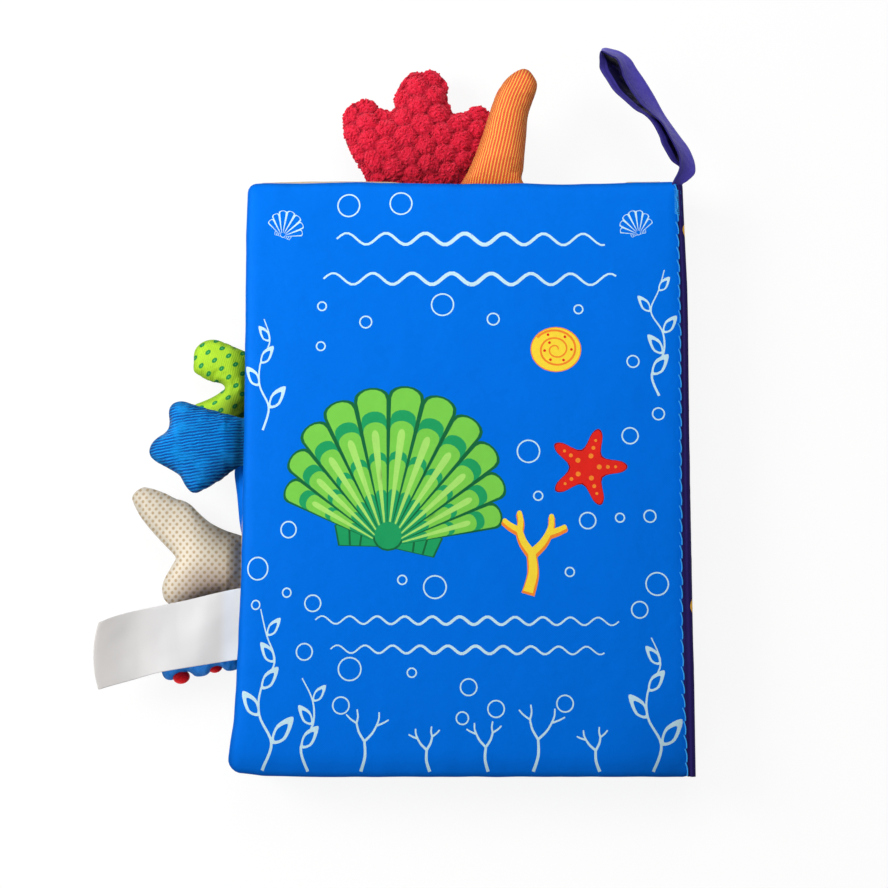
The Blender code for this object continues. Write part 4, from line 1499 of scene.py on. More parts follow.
def close_tree(tree, given, result, copies):
    """Makes the copies real and smooth, gives them their material and ends the tree."""
    real = put(tree, "GeometryNodeRealizeInstances", {0: copies})
    smooth = put(tree, "GeometryNodeSetShadeSmooth", {0: real.outputs[0]})
    coloured = put(tree, "GeometryNodeSetMaterial", {
        "Geometry": smooth.outputs[0], "Material": given["Material"]})
    tree.links.new(coloured.outputs[0], result.inputs[0])


def kept_mesh(piece, tree, sockets, values):
    """Runs a tree on an object and returns the result as a plain mesh."""
    modifier = piece.modifiers.new("grow", "NODES")
    modifier.node_group = tree
    for label, value in values.items():
        modifier[sockets[label]] = value
    solid = piece.evaluated_get(bpy.context.evaluated_depsgraph_get())
    mesh = bpy.data.meshes.new_from_object(solid)
    piece.modifiers.remove(modifier)
    return mesh


def grown(name, points, edges, attributes, tree, sockets, values):
    """Grows copies on a helper of points and lines, in millimetres, and keeps them as one piece."""
    helper = new_object(name + "_line", points, edges)
    helper_mesh = helper.data
    for label, (numbers, kind) in attributes.items():
        add_attribute(helper, label, numbers, kind)
    mesh = kept_mesh(helper, tree, sockets, values)
    bpy.data.objects.remove(helper)
    bpy.data.meshes.remove(helper_mesh)
    mesh.shade_smooth()
    piece = bpy.data.objects.new(name, mesh)
    scene.collection.objects.link(piece)
    add_attribute(piece, "cloth_place", mesh_points(mesh) / MM, "FLOAT_VECTOR")
    add_attribute(piece, "rim", [FAR_FROM_SEAM] * len(mesh.vertices))
    print(name, "vertices:", len(mesh.vertices))
    return piece


# %% Yarn tufts
tree, given, result, tuft_sockets = geometry_tree("yarn_tufts", [
    ("Density", FLOAT, 700000.0), ("Size", FLOAT, 0.0012), ("Seed", "NodeSocketInt", 1)])
scatter = put(tree, "GeometryNodeDistributePointsOnFaces", {
    "Mesh": given["Geometry"], "Density": given["Density"], "Seed": given["Seed"]})
tuft = put(tree, "GeometryNodeMeshUVSphere", {"Segments": 6, "Rings": 4, "Radius": 0.5})
spin = put(tree, "FunctionNodeRandomValue", {
    "Min": (-0.35, -0.35, 0.0), "Max": (0.35, 0.35, math.tau), "Seed": given["Seed"]},
    data_type="FLOAT_VECTOR")
tuft_turn = put(tree, "FunctionNodeRotateRotation", {
    "Rotation": scatter.outputs["Rotation"], "Rotate By": spin.outputs[0]}, rotation_space="LOCAL")
swell = put(tree, "FunctionNodeRandomValue", {2: 0.75, 3: 1.3, "Seed": given["Seed"]})
long = maths(tree, "MULTIPLY", swell.outputs[1], given["Size"])
TUFT_SHARES = {"X": 1.5, "Y": 0.62, "Z": 0.55}
tuft_size = put(tree, "ShaderNodeCombineXYZ", {
    axis: maths(tree, "MULTIPLY", long, share) for axis, share in TUFT_SHARES.items()})
tufts = put(tree, "GeometryNodeInstanceOnPoints", {
    "Points": scatter.outputs["Points"], "Instance": tuft.outputs[0],
    "Rotation": tuft_turn.outputs[0], "Scale": tuft_size.outputs[0]})
piled = put(tree, "GeometryNodeJoinGeometry")
tree.links.new(tufts.outputs[0], piled.inputs[0])
tree.links.new(given["Geometry"], piled.inputs[0])
close_tree(tree, given, result, piled.outputs[0])
tuft_tree = tree

# %% Suckers
tree, given, result, sucker_sockets = geometry_tree("sucker_row", [
    ("Radius", FLOAT, 0.003), ("Thickness", FLOAT, 0.6)])
cup = put(tree, "GeometryNodeMeshUVSphere", {"Segments": 20, "Rings": 12, "Radius": 1.0})
facing = put(tree, "GeometryNodeInputNamedAttribute", {
    "Name": "facing"}, data_type="FLOAT_VECTOR")
width = put(tree, "GeometryNodeInputNamedAttribute", {"Name": "width"}, data_type="FLOAT")
cup_turn = put(tree, "FunctionNodeAlignRotationToVector", {
    "Vector": facing.outputs[0]}, axis="Z")
wide = maths(tree, "MULTIPLY", width.outputs[0], given["Radius"])
cup_size = put(tree, "ShaderNodeCombineXYZ", {
    "X": wide, "Y": wide, "Z": maths(tree, "MULTIPLY", wide, given["Thickness"])})
cups = put(tree, "GeometryNodeInstanceOnPoints", {
    "Points": given["Geometry"], "Instance": cup.outputs[0], "Rotation": cup_turn.outputs[0],
    "Scale": cup_size.outputs[0]})
close_tree(tree, given, result, cups.outputs[0])
sucker_tree = tree

# %% [markdown]
# ## The six tails
#
# Their outlines are read from the photograph at each tail's own height, as across and out from its
# seam in millimetres. What lies under a neighbour there is completed.
# %% Bobble fan
FAN = ((17, -0.5), (19.5, 6), (23, 13), (27, 20), (30, 26), (31, 30.8), (29, 34.4), (25, 35.6),
       (20.5, 34.2), (16, 33), (13.2, 36.4), (12.2, 41), (11.9, 44.6), (10.3, 48.1), (7.8, 50.6),
       (4.8, 51.9), (2.1, 50.9), (-1.2, 50.6), (-4.4, 49), (-6.6, 44.6), (-8.2, 39.5), (-8.9, 36.1),
       (-10.9, 33.6), (-14.2, 34.6), (-16.9, 37.3), (-21.3, 38.5), (-25.1, 37.6), (-27.8, 34.2),
       (-28.7, 30.4), (-28.3, 25.3), (-26.7, 19.7), (-24.2, 15), (-22, 10.5), (-19.7, 6),
       (-18.7, -0.5))
BOBBLE_PITCH = 8.3
BOBBLE_LEAN = math.radians(38)
YARN = {"Density": 430000.0, "Size": 0.0015, "Seed": 5, "Material": bobble_cloth}


def tufted(piece):
    """Grows the yarn's tufts on the cloth's own mesh."""
    piece.data = kept_mesh(piece, tuft_tree, tuft_sockets, YARN)


def bobble_height(across, out, wobble):
    """0 in the crevices and 1 on top of a bobble, on a slanting lattice."""
    cos_turn, sin_turn = math.cos(BOBBLE_LEAN), math.sin(BOBBLE_LEAN)
    u = (across * cos_turn + out * sin_turn) / BOBBLE_PITCH
    v = (-across * sin_turn + out * cos_turn) / (BOBBLE_PITCH * 0.9)
    u += 0.18 * noise.noise(Vector((across / 15, out / 15, wobble)))
    v += 0.18 * noise.noise(Vector((across / 15, out / 15, wobble + 5)))
    best = 9.0
    for row in (math.floor(v), math.floor(v) + 1):
        shift = 0.5 * (row % 2)
        column = round(u - shift) + shift
        best = min(best, math.hypot((u - column), (v - row) * 0.9))
    return math.sqrt(max(0.0, 1 - (best / 0.62) ** 2))


def bobbled(form, depth, wobble):
    points, faces, rims, place = form
    normals = point_normals(points, faces)
    lumps, moved = [], []
    for point, normal, gap, (across, out, side) in zip(points, normals, rims, place):
        lump = bobble_height(across, out + side * 0.15, wobble + side)
        yarn = noise.noise(Vector((across / 0.9, out / 0.9, side)))
        fine = noise.noise(Vector((across / 0.45, out / 0.45, side + 7)))
        fade = min(1.0, max(0.0, (out + 0.5) / 7))
        rise = (lump - 0.62) * depth + 0.22 * yarn + 0.12 * fine
        moved.append(point + Vector(normal) * rise * fade)
        lumps.append(lump)
    return (moved, faces, rims, place), lumps


fan_form, fan_lumps = bobbled(stuffed_form(
    "bobble_fan_tail", FAN, thickness=10.6, rise=-3.2, spacing=0.75, neck=10.0, power=0.75), 3.0, 2)
sewn_tail("bobble_fan_tail", fan_form, bobble_cloth, {"bobble": fan_lumps}, tufted)

# %% Striped curved tail
HORN = ((13.9, -0.8), (13.4, 0.6), (11.3, 3.9), (12, 8), (12.5, 14.5), (13.1, 21.1), (13.7, 28.6),
        (15.2, 33.6), (16.9, 38.2), (17.2, 41.2), (15.9, 43.7), (13.9, 46), (11.6, 46.6),
        (8.8, 45.6), (5.6, 43.2), (2.4, 39.6), (0.1, 35.2), (-1.9, 29.5), (-5.4, 18.9), (-9.4, 8.9),
        (-13.3, 1.3), (-13.9, -0.8))
HORN_SIDES = ((-4, -14.5, 13.6), (1, -13.4, 13), (9, -9.4, 12.2), (19, -5.4, 12.9),
              (29.5, -1.9, 13.9), (35, 0.1, 15.6), (43, 5.4, 17.4), (49, 9, 19))
STRIPE_PITCH = 1.35


def stripe_number(across, out):
    """Stripes lie evenly round the tube, so they close up towards its sides as they are seen."""
    outs, lows, highs = zip(*HORN_SIDES)
    low, high = float(np.interp(out, outs, lows)), float(np.interp(out, outs, highs))
    half = (high - low) / 2
    share = min(1.0, max(-1.0, (across - (low + high) / 2) / half))
    return half * math.asin(share) / STRIPE_PITCH


horn_form = stuffed_form(
    "striped_curved_tail", HORN, thickness=10.6, rise=8.4, spacing=0.8, neck=12.0, power=0.75,
    growth=0.02, cap=0.5)
horn_stripes = [stripe_number(across, out) for across, out, _ in horn_form[3]]
sewn_tail("striped_curved_tail", horn_form, stripe_cloth, {"stripe": horn_stripes})

# %% Dotted forked tail
FORK = ((14, -0.6), (16.2, 4.6), (17.4, 7.7), (18.4, 10.3), (18.9, 13), (18.6, 15.6),
        (17.3, 18.2), (14.6, 20.4), (10.6, 20.8), (6.6, 20.7), (5.1, 19.2), (3.5, 16.5), (2.4, 14.3),
        (1.8, 12.1), (1, 9.2), (-0.7, 7.9), (-2, 9.4), (-3.5, 11.5), (-4.9, 14.1), (-6, 16.7),
        (-7.3, 19.7), (-9.7, 21.5), (-13.7, 21), (-17, 17.9), (-18.6, 13.5), (-18.1, 7.9),
        (-16.9, 3.1), (-15.7, -0.6))
sewn_tail("dotted_forked_tail", stuffed_form(
    "dotted_forked_tail", FORK, thickness=7.6, rise=-1.0, spacing=0.9, cap=0.8),
    dot_cloth)

# %% Ribbed star
STAR = ((9.6, -0.8), (10.4, 3), (11.7, 7.7), (13.2, 12.9), (14.7, 18), (15.3, 20.2), (15.7, 22.6),
        (15.3, 24.9), (14, 26.6), (12.1, 27.4), (9.9, 27.5), (7.8, 27.3), (5.2, 27.6), (3.4, 28.8),
        (1.3, 31.3), (-1.1, 33.4), (-3.9, 34.3), (-5.6, 34.1), (-7.1, 33), (-8.8, 30.8),
        (-10.3, 28), (-12, 25), (-13.5, 22.8), (-15.8, 21.4), (-18.2, 19.7), (-19.8, 18.1),
        (-20.1, 16.9), (-19.6, 15.2), (-17.9, 12), (-16, 8.7), (-13.4, 4.9), (-11.9, 3.2),
        (-10.6, 1.2), (-9.4, -0.8))
sewn_tail("ribbed_star_tail", stuffed_form(
    "ribbed_star_tail", STAR, thickness=11.4, rise=3.4, spacing=0.8, cap=0.9),
    rib_satin, crosswise=True)

# %% Spotted fluke
FLUKE = ((10.1, -0.8), (10.8, 1.4), (11.8, 4.7), (13.2, 8), (15, 11.4), (17.3, 14.4), (19.8, 17.1),
         (22, 19.4), (23.7, 22.4), (24.4, 25.1), (25.8, 28.1), (27.3, 31.4), (28.4, 34.7),
         (29, 37), (29.2, 39), (28.2, 41), (26.7, 42.7), (25.2, 43.3), (23.4, 42.9),
         (19.8, 41), (14.9, 37.6), (10.3, 33.5), (5.8, 29.1), (3.2, 26.4), (1, 24.9),
         (-1.1, 26), (-4.3, 27.8), (-7.6, 29.4), (-10.2, 29.9), (-12.8, 29.7), (-15.2, 28.8),
         (-16.8, 27.1), (-17.2, 24.3), (-16.2, 18.9), (-14.4, 12.6), (-13.2, 6.4), (-12.2, -0.8))
sewn_tail("spotted_fluke_tail", stuffed_form(
    "spotted_fluke_tail", FLUKE, thickness=12.0, rise=-3.0, spacing=0.85, neck=4.5, growth=0.02,
    cap=0.5, ridge=1.45), spot_cloth)

# %% Tentacle and its suckers
TENTACLE = ((5.7, -0.8), (4.9, 5.5), (3.7, 13.4), (1.7, 20), (-1.5, 25.1), (-5, 28.6),
            (-9.4, 30.2), (-12.4, 29), (-13.2, 26), (-11, 23), (-9.9, 19.6), (-11.6, 16.4),
            (-11, 12.4), (-8.6, 9.8), (-7.6, 7.4), (-9.3, 4.6), (-9.2, 1.6), (-8.3, -0.8))
# Each sucker: across and out from the seam, and its width. The first two peep out under the label.
SUCKERS = ((-12.0, 22.4, 1.15), (-8.0, 9.3, 1.0), (-3.4, 24.6, 0.9), (-6.0, 15.6, 1.0),
           (0.6, 18.2, 0.8), (-1.6, 9.6, 0.9), (2.2, 11.2, 0.7), (-4.9, 3.2, 0.8), (1.9, 4.0, 0.7))
SEEN_LIFTS = (1.6, 1.4)
SEEN_FACING = (0, -0.75, -0.66)
LOW_FACING = (0.1, -0.2, -1)
CREASE_DEPTH = 0.35

points, faces, rims, place = stuffed_form(
    "sucker_tentacle_tail", TENTACLE, thickness=8.2, rise=-2.0, spacing=0.8, cap=0.8)
ridged = [
    point + Vector(normal) * CREASE_DEPTH * math.sin(out * 2.2 + across * 0.8) * min(1.0, gap / 2)
    for point, normal, gap, (across, out, _) in zip(points, point_normals(points, faces), rims, place)]
sewn_tail("sucker_tentacle_tail", (ridged, faces, rims, place), tentacle_blue,
          crosswise=True)

cup_places = [at_seam("sucker_tentacle_tail", (across, out, -2.7)) for across, out, _ in SUCKERS]
for cup_place, lift in zip(cup_places, SEEN_LIFTS):
    cup_place.z += lift
lows = len(SUCKERS) - len(SEEN_LIFTS)
suckers = grown("tentacle_suckers", cup_places, [], {
    "facing": ([SEEN_FACING] * len(SEEN_LIFTS) + [LOW_FACING] * lows, "FLOAT_VECTOR"),
    "width": ([width for _, _, width in SUCKERS], "FLOAT")}, sucker_tree, sucker_sockets, {
        "Radius": 0.0029, "Thickness": 0.62, "Material": tentacle_red})
seam_blend(suckers)

# %% [markdown]
# ## Ribbons: the care label and the strap
#
# Both are one ribbon folded once, with both ends in a seam. A ribbon is swept along the path of its
# middle: each station has a direction across its width, so that it can lean, curl and fold.
# %% A swept ribbon


def sleeve_faces(stations, row):
    """Faces of a closed strip. Each station is a row of points on one face, then on the other."""
    faces, end = [], row - 1
    for i in range(stations - 1):
        a, b = i * 2 * row, (i + 1) * 2 * row
        for k in range(end):
            faces.append((a + k, a + k + 1, b + k + 1, b + k))
            faces.append((a + row + k + 1, a + row + k, b + row + k, b + row + k + 1))
        faces.append((a + row, a, b, b + row))
        faces.append((a + end, a + row + end, b + row + end, b + end))
    last = (stations - 1) * 2 * row
    for k in range(end):
        faces.append((k + 1, k, row + k, row + k + 1))
        faces.append((last + k, last + k + 1, last + row + k + 1, last + row + k))
    return faces


def face_out(piece):
    """Turns every face outwards."""
    editor = bmesh.new()
    editor.from_mesh(piece.data)
    bmesh.ops.recalc_face_normals(editor, faces=editor.faces)
    editor.to_mesh(piece.data)
    editor.free()


def ribbon(name, stations, thickness, material, across_steps, cup=0.0, belly=None):
    """Stations are (left edge, right edge) pairs in millimetres. Returns piece, length and area."""
    shares = [0.0, 0.012] + [k / across_steps for k in range(1, across_steps)] + [0.988, 1.0]
    lefts = np.array([tuple(a) for a, _ in stations])
    rights = np.array([tuple(b) for _, b in stations])
    centre = (lefts + rights) / 2
    wide = rights - lefts
    normal = np.cross(wide, np.gradient(centre, axis=0))
    normal /= np.maximum(np.linalg.norm(normal, axis=1, keepdims=True), 1e-9)
    run = np.concatenate([[0], np.cumsum(np.linalg.norm(np.diff(centre, axis=0), axis=1))])
    points, place, share_of_width = [], [], []
    for i in range(len(stations)):
        for side in (1, -1):
            for t in shares:
                bow = 4 * t * (1 - t)
                lift = normal[i] * (side * thickness / 2 * (1 if 0 < t < 1 else 0.6) + cup * bow)
                if belly is not None:
                    lift = lift + belly[i] * bow
                points.append(lefts[i] + wide[i] * t + lift)
                place.append((t * np.linalg.norm(wide[i]), run[i], side * SIDES_APART))
                share_of_width.append(t)
    piece = new_piece(name, points, sleeve_faces(len(stations), len(shares)), material)
    add_attribute(piece, "cloth_place", place, "FLOAT_VECTOR")
    add_attribute(piece, "rim", [max(0.0, out) for _, out, _ in place])
    add_attribute(piece, "across_share", share_of_width)
    face_out(piece)
    area = float(np.sum(np.linalg.norm(wide[:-1], axis=1) * np.diff(run)))
    print(name, "length", round(float(run[-1]), 1), "area", round(area, 1))
    return piece, float(run[-1]), area


# %% Care label
LABEL_TOP = ((14, -4.2), (13.5, 0), (12.1, 6.4), (9.3, 18), (7.4, 27.3), (4.9, 39.4),
             (2.6, 47.2), (0.4, 52.2))
LABEL_BOTTOM = ((-13.4, -4.2), (-14, 1), (-15.9, 12.6), (-18.7, 28.7), (-21.7, 39.3),
                (-23.8, 46.8), (-25.3, 51.6))
LABEL_REACH = 52
LABEL_BELLY = 1.9
LABEL_WAVE = 0.9
LABEL_GAP = 0.34
FOLD_STEPS = 6
FOLD_REACH = 0.45


def label_stations():
    """Out along the upper layer, round the fold, and back along the lower layer."""
    tops = evenly(flowing(LABEL_TOP, 6), 1.6)
    count = len(tops)
    low = evenly(flowing(LABEL_BOTTOM, 6), 0.2)
    bottoms = [low[round(i * (len(low) - 1) / (count - 1))] for i in range(count)]
    upper, lower = [], []
    for top, bottom in zip(tops, bottoms):
        out = (top.y + bottom.y) / 2
        free = min(1.0, max(0.0, out / 14))
        sway = free * (1.1 * math.sin(out / 8.2 + 0.4) + 0.3 * math.sin(out / 3.9 + 1))
        tilt = free * 1.1 * math.sin(out / 12 + 2.4)
        gap = LABEL_GAP * (1 + 1.4 * free)
        for row, lift in ((upper, gap / 2), (lower, -gap / 2)):
            row.append((
                at_seam("care_label", (top.x, top.y, sway + tilt + lift)),
                at_seam("care_label", (bottom.x, bottom.y, sway - tilt + lift))))
    end_top, end_bottom = upper[-1]
    drop = (lower[-1][0] - end_top) / 2
    turn = []
    for step in range(1, FOLD_STEPS):
        angle = math.pi * step / FOLD_STEPS
        move = drop * (1 - math.cos(angle)) + Vector((-math.sin(angle) * FOLD_REACH, 0, 0))
        turn.append((end_top + move, end_bottom + move))
    return upper + turn + lower[::-1]


label_line = label_stations()
label_belly = []
for high, low in label_line:
    share = max(0.0, (SEAM_X - (high[0] + low[0]) / 2) / LABEL_REACH)
    lift = LABEL_WAVE * math.sin(9 * share) * (1 - share)
    label_belly.append(np.array((-LABEL_BELLY * share ** 3, 0, lift)))
care_label, label_run, label_area = ribbon(
    "care_label_ribbon", label_line, 0.16, label_satin, 14, belly=label_belly)
seam_blend(care_label)
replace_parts(care_label, "care_label")

# %% Strap
# Each station: across, out and up of the ribbon's upper edge, then of its lower edge.
STRAP_EDGES = (
    ((-0.8, -1.9, 1.2), (3.2, -1.6, -1.2)),
    ((-0.6, -0.3, 1.5), (3.8, 0.6, -1.5)), ((0.1, 1.4, 1.8), (6.1, 2.3, -1.8)),
    ((1.7, 4.5, 2.4), (8.7, 5, -2.4)), ((2.3, 7.2, 3.1), (9.2, 7.9, -3.1)),
    ((1.9, 10.3, 3.8), (8.6, 11.7, -3.8)), ((0.6, 13.7, 4.1), (6.6, 16.5, -4.1)),
    ((-1.6, 18, 4.3), (3.5, 21, -4.3)), ((-4.7, 23.7, 4.4), (-0.3, 26.6, -4.4)),
    ((-8.9, 28, 4.1), (-3.2, 31.1, -4.1)), ((-12.8, 31.9, 3.7), (-6.8, 38, -3.7)),
    ((-16.8, 37.7, 3.4), (-10.5, 44.3, -3.4)), ((-19.6, 42.9, 3.6), (-13.7, 49.3, -3.6)),
    ((-20.8, 47, 4.1), (-16, 53.4, -4.1)), ((-22.4, 50.3, 4.5), (-19.9, 56.6, -4.5)),
    ((-24.3, 51.3, 4.5), (-23.6, 57.8, -4.5)), ((-26.5, 52.6, 4.6), (-26.2, 58.3, -4.6)),
    ((-28.5, 53.4, 4.7), (-27.4, 57.6, -4.7)), ((-29.1, 51.9, 4.4), (-25, 55.9, -4.4)),
    ((-29, 49.6, 3.1), (-21.1, 52.6, -4.1)), ((-28.7, 47.2, 1.3), (-18.4, 47.6, -3.3)),
    ((-26.1, 42.5, 1.8), (-16.8, 43.3, -3)), ((-23.4, 37.9, 2.4), (-14.5, 39, -3)),
    ((-19.2, 33.6, 3.1), (-11.2, 35.2, -3.1)), ((-15.1, 29.6, 3.6), (-7.9, 32.4, -3.6)),
    ((-11.5, 27.4, 3.9), (-5.1, 29.8, -3.9)), ((-8.4, 24, 3.9), (-2, 26.4, -3.9)),
    ((-5.7, 18.6, 3.9), (0.8, 21.9, -3.9)), ((-4.9, 15.9, 3.6), (2.1, 19.1, -3.6)),
    ((-2.9, 12.3, 2.9), (4.1, 15.5, -3.9)), ((-0.6, 9.2, 1.6), (5.3, 11.8, -4.6)),
    ((2.7, 7.1, 0.2), (6.4, 8.9, -4.7)), ((2.6, 4.2, -0.4), (5.9, 5.7, -4.4)),
    ((1.6, 1.5, -0.8), (4.6, 2.8, -3.6)), ((1, -0.4, -0.8), (3.7, 0.6, -2.8)),
    ((0.6, -1.9, -0.8), (3.1, -1.6, -2.4)))

edge_lines = [flowing([pair[k] for pair in STRAP_EDGES], 5) for k in (0, 1)]
strap_line = [
    (at_seam("strap_loop", low), at_seam("strap_loop", high)) for high, low in zip(*edge_lines)]
strap, strap_run, strap_area = ribbon("strap_ribbon", strap_line, 0.6, strap_satin, 10, 0.3)
seam_blend(strap)
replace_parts(strap, "strap_loop")

# %% [markdown]
# ## The spine's cloth and its stitches
#
# One navy cloth runs round the spine. It bends only along the fold lines between the leaves, so it
# is built in four lengths that meet on the middles of the leaves, each over one fold. The
# outer two go on over the rolled edges of the covers, where light blue thread holds them.
# %% Spine sizes
SPINE_HALF = 114.8
SPINE_FACE = 88.5
FRONT_FACE = 89.35
BACK_FACE = 87.9
COVER_EDGE = 86.0
WRAP_HEIGHT = 2.3
SECTION_STEPS = 14
ROW_STEP = 2.0
CLOTH_END = ((-115, 85), (-112, 84.9), (-86, 84), (-56, 83.7), (0, 84.2), (58, 84.7), (108, 84.3),
             (115, 84))


def spine_shift(y):
    """How far the back cover's edge, and its cloth with it, lies from straight."""
    return interpolated(back_cover_edges["spine"], y)


def off_middle(z):
    """0 at the middle of the nearest leaf, 1 at its faces and in the fold beyond them."""
    nearest = leaf_middle(round((z - FIRST_MIDDLE) / LEAF_PITCH))
    return min(1.0, abs(z - nearest) / FIRST_MIDDLE)


def height_over(piece):
    """A function that gives the height of a leaf's top or bottom at a place."""
    verts = piece.data.vertices
    tree = KDTree(len(verts))
    for vert in verts:
        tree.insert((vert.co.x / MM, vert.co.y / MM, 0), vert.index)
    tree.balance()

    def height(x, y, side):
        total = weight_sum = 0.0
        for _, i, distance in tree.find_n((x, y, 0), 12):
            z = verts[i].co.z / MM
            if (z - leaf_middle(round((z - FIRST_MIDDLE) / LEAF_PITCH))) * side > -1e-3:
                weight = 1 / (distance + 0.2) ** 2
                total += weight * z
                weight_sum += weight
        return total / weight_sum

    return height


# %% Spine cloth


def spine_section(k, y):
    """The outer line of one length of cloth at a place along the spine, from low to high."""
    line = []
    for step in range(SECTION_STEPS + 1):
        z = leaf_middle(k - 1) + LEAF_PITCH * step / SECTION_STEPS
        lean = interpolated(SPINE_LEAN, y) * min(1.0, (z - FIRST_MIDDLE) / LEAF_PITCH)
        line.append(Vector((SPINE_FACE + lean + 0.9 * (1 - off_middle(z) ** 2), z)))
    if k == 4:
        for point in line:
            near = min(1.0, max(0.0, (point.y - 21.4) / 3.5))
            point.x += near * (BACK_FACE + spine_shift(y) - point.x)
    return line


def cover_wrap(side, y, height):
    """The cloth over a cover's rolled edge, from the spine's face to its stitched end."""
    shift = spine_shift(y) if side == 1 else 0.0
    middle = leaf_middle(4 if side == 1 else 0)
    face = BACK_FACE + shift if side == 1 else FRONT_FACE
    line = []
    for angle in range(12, 91, 13):
        turn = math.radians(angle)
        line.append(Vector((
            COVER_EDGE + shift + (face - COVER_EDGE - shift) * math.cos(turn),
            middle + side * WRAP_HEIGHT * math.sin(turn))))
    end = interpolated(CLOTH_END, y)
    for share in (0.75, 0.5, 0.25, 0.0):
        x = end + share * (COVER_EDGE - 0.2 + shift - end)
        lift = 0.18 + 0.3 * math.sin(math.pi * share)
        line.append(Vector((x, height(x, y, side) + side * lift)))
    return line


def cloth_depth(k, y, point):
    """Thin where the cloth lies on a cover, thicker round its edge, and thickest at the leaves."""
    in_wrap = (k == 1 and point.y < leaf_middle(0)) or (k == 4 and point.y > leaf_middle(4))
    if in_wrap:
        return 0.3 if point.x < COVER_EDGE + min(0, spine_shift(y)) else 1.2
    return 0.7 + 1.6 * (1 - off_middle(point.y)) ** 2


def spine_cloth_piece(k):
    """One length of the cloth, from the middle of one leaf to the middle of the next."""
    rows = round(2 * SPINE_HALF / ROW_STEP)
    points, place = [], []
    for row in range(rows + 1):
        y = -SPINE_HALF + row * 2 * SPINE_HALF / rows
        wobble = 0.18 * noise.noise(Vector((y / 13, k, 4))) + 0.1 * noise.noise(Vector((y / 4, k, 9)))
        line = [point + Vector((wobble, 0)) for point in spine_section(k, y)]
        if k == 1:
            line = cover_wrap(-1, y, front_height)[::-1] + line
        if k == 4:
            line = line + cover_wrap(1, y, back_height)
        run, inner = 0.0, []
        for i, point in enumerate(line):
            before, after = line[max(0, i - 1)], line[min(len(line) - 1, i + 1)]
            along = (after - before).normalized()
            inner.append(point + Vector((-along.y, along.x)) * cloth_depth(k, y, point))
            run += (point - before).length
            place.append((run + 30 * k, y, 0))
        place += [(across, y, 5) for across, y, _ in place[-len(line):]]
        points += [(point.x, y, point.y) for point in line + inner]
    piece = new_piece(
        "spine_cloth_%d" % k, points, sleeve_faces(rows + 1, len(line)), spine_cloth)
    face_out(piece)
    add_attribute(piece, "cloth_place", place, "FLOAT_VECTOR")
    add_attribute(piece, "rim", [FAR_FROM_SEAM] * len(points))
    add_attribute(piece, "print", [(*INKS["navy"], 1)] * len(points), "FLOAT_COLOR")
    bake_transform(piece)
    covered = LEAVES[k - 1:k] if k < 4 else LEAVES[3:]
    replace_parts(piece, *[leaf + "_spine_strip" for leaf in covered])


front_height = height_over(leaf_pieces["front_cover"])
back_height = height_over(leaf_pieces["back_cover"])
for length in range(1, len(LEAVES)):
    spine_cloth_piece(length)
print("lengths of spine cloth:", length)

# %% [markdown]
# ## Stitches, by Geometry Nodes
#
# A seam's stitches are one small loop of thread, repeated at an even pitch with a little hand to
# it. The node tree takes the seam's line, so the same tree sews every seam, and a seam that moves
# takes its stitches along.
# %% The stitch tree
tree, given, result, stitch_sockets = geometry_tree("stitch_row", [
    ("Pitch", FLOAT, 0.0049), ("Length", FLOAT, 0.0046), ("Thread", FLOAT, 0.0005),
    ("Bulge", FLOAT, 0.001), ("Slant", FLOAT, 0.0), ("Seed", "NodeSocketInt", 1)])
seam_line = put(tree, "GeometryNodeMeshToCurve", {"Mesh": given["Geometry"]})
even = put(tree, "GeometryNodeResampleCurve", {
    "Curve": seam_line.outputs[0], "Length": given["Pitch"]}, mode="LENGTH")
knots = put(tree, "GeometryNodeCurveToPoints", {
    "Curve": even.outputs[0]}, mode="EVALUATED")
half_length = maths(tree, "MULTIPLY", given["Length"], 0.5)
loop_start = put(tree, "ShaderNodeCombineXYZ", {
    "X": maths(tree, "MULTIPLY", half_length, -1.0)})
loop_middle = put(tree, "ShaderNodeCombineXYZ", {"Y": given["Bulge"]})
loop_end = put(tree, "ShaderNodeCombineXYZ", {"X": half_length})
loop = put(tree, "GeometryNodeCurveQuadraticBezier", {
    "Resolution": 8, "Start": loop_start.outputs[0], "Middle": loop_middle.outputs[0],
    "End": loop_end.outputs[0]})
round_thread = put(tree, "GeometryNodeCurvePrimitiveCircle", {
    "Resolution": 6, "Radius": maths(tree, "MULTIPLY", given["Thread"], 0.5)})
stitch_loop = put(tree, "GeometryNodeCurveToMesh", {
    "Curve": loop.outputs[0], "Profile Curve": round_thread.outputs[0], "Fill Caps": True})
turn = put(tree, "FunctionNodeAlignRotationToVector", {
    "Vector": knots.outputs["Tangent"]}, axis="X")
by_hand = put(tree, "FunctionNodeRandomValue", {
    "Min": (-0.05, -0.03, -0.07), "Max": (0.05, 0.03, 0.07), "Seed": given["Seed"]},
    data_type="FLOAT_VECTOR")
slant = put(tree, "ShaderNodeCombineXYZ", {"Z": given["Slant"]})
angle = put(tree, "ShaderNodeVectorMath", {
    0: by_hand.outputs[0], 1: slant.outputs[0]}, operation="ADD")
stitch_turn = put(tree, "FunctionNodeRotateRotation", {
    "Rotation": turn.outputs[0], "Rotate By": angle.outputs[0]}, rotation_space="LOCAL")
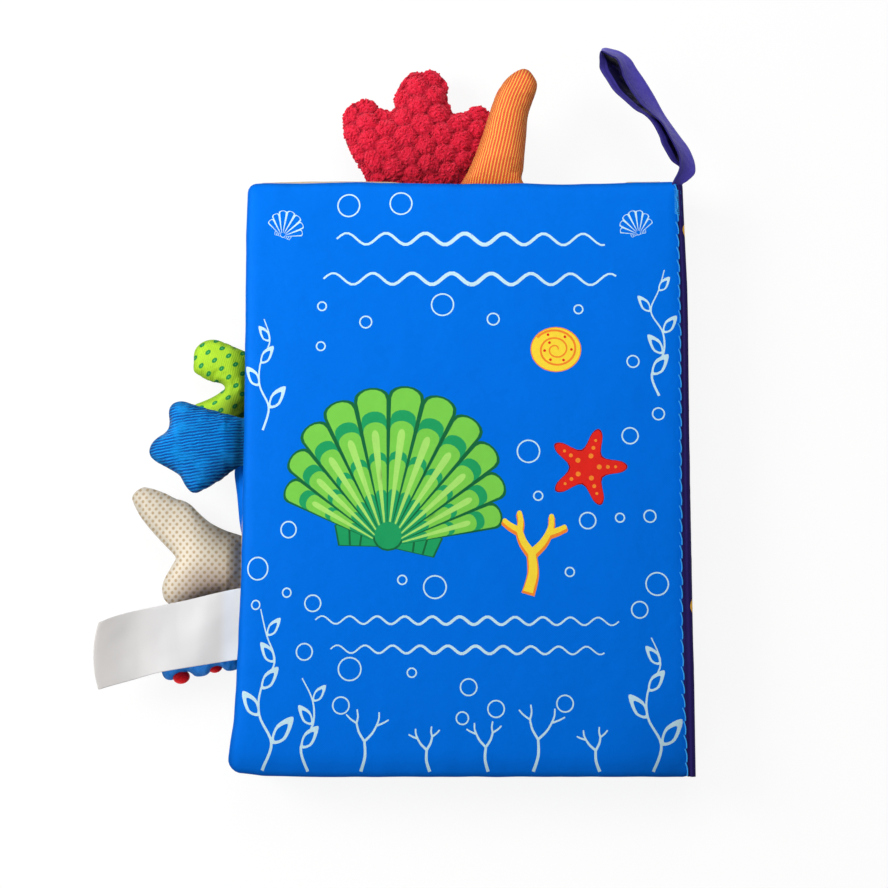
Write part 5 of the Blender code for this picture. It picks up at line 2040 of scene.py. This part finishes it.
copies = put(tree, "GeometryNodeInstanceOnPoints", {
    "Points": knots.outputs[0], "Instance": stitch_loop.outputs[0],
    "Rotation": stitch_turn.outputs[0]})
close_tree(tree, given, result, copies.outputs[0])
stitch_tree = tree

# %% Sewing a row
# Each stitch in metres, and its slant in radians.
COVER_STITCH = {
    "Pitch": 0.0050, "Length": 0.0050, "Thread": 0.0005, "Bulge": -0.0008, "Slant": 0.14, "Seed": 4}
OVERLOCK_STITCH = {
    "Pitch": 0.00085, "Length": 0.0030, "Thread": 0.00045, "Bulge": 0.0002, "Slant": 1.15, "Seed": 9}
PAGE_STITCH = {
    "Pitch": 0.0049, "Length": 0.0047, "Thread": 0.0004, "Bulge": 0.0012, "Slant": 0.0, "Seed": 7}


def line_on(leaf, side, low, high, steps, edge, lift):
    """Points in millimetres on a leaf's upper or lower face, along its seam."""
    over_leaf = height_over(leaf_pieces[leaf])
    line = []
    for i in range(steps + 1):
        y = low + (high - low) * i / steps
        line.append((edge(y), y, over_leaf(edge(y), y, side) + side * lift))
    return line


def sewn_row(name, line, stitch, leaf):
    """Sews a row of stitches along a line of points."""
    edges = [(i, i + 1) for i in range(len(line) - 1)]
    row = grown(name, line, edges, {}, stitch_tree, stitch_sockets, {**stitch, "Material": stitch_thread})
    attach(row, leaf + "_body")
    return row


# %% The rows of stitches
OVERLOCK_FROM = 101
for leaf, side in (("back_cover", 1), ("front_cover", -1)):
    line = line_on(leaf, side, -112, 112.5, 115, lambda y: interpolated(CLOTH_END, y) - 0.4, 0.22)
    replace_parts(sewn_row(leaf + "_stitches", line, COVER_STITCH, leaf), leaf + "_seam_thread")
    if side == 1:
        patch = [(x + 0.5, y, z) for x, y, z in line if y > OVERLOCK_FROM]
        sewn_row("back_cover_overlock", patch, OVERLOCK_STITCH, leaf)
for leaf in ("leaf_1", "leaf_2", "leaf_3"):
    line = line_on(leaf, 1, -113, 113, 80, lambda y: 84.9 + interpolated(SPINE_LEAN, y), 0.05)
    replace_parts(sewn_row(leaf + "_stitches", line, PAGE_STITCH, leaf), leaf + "_seam_thread")
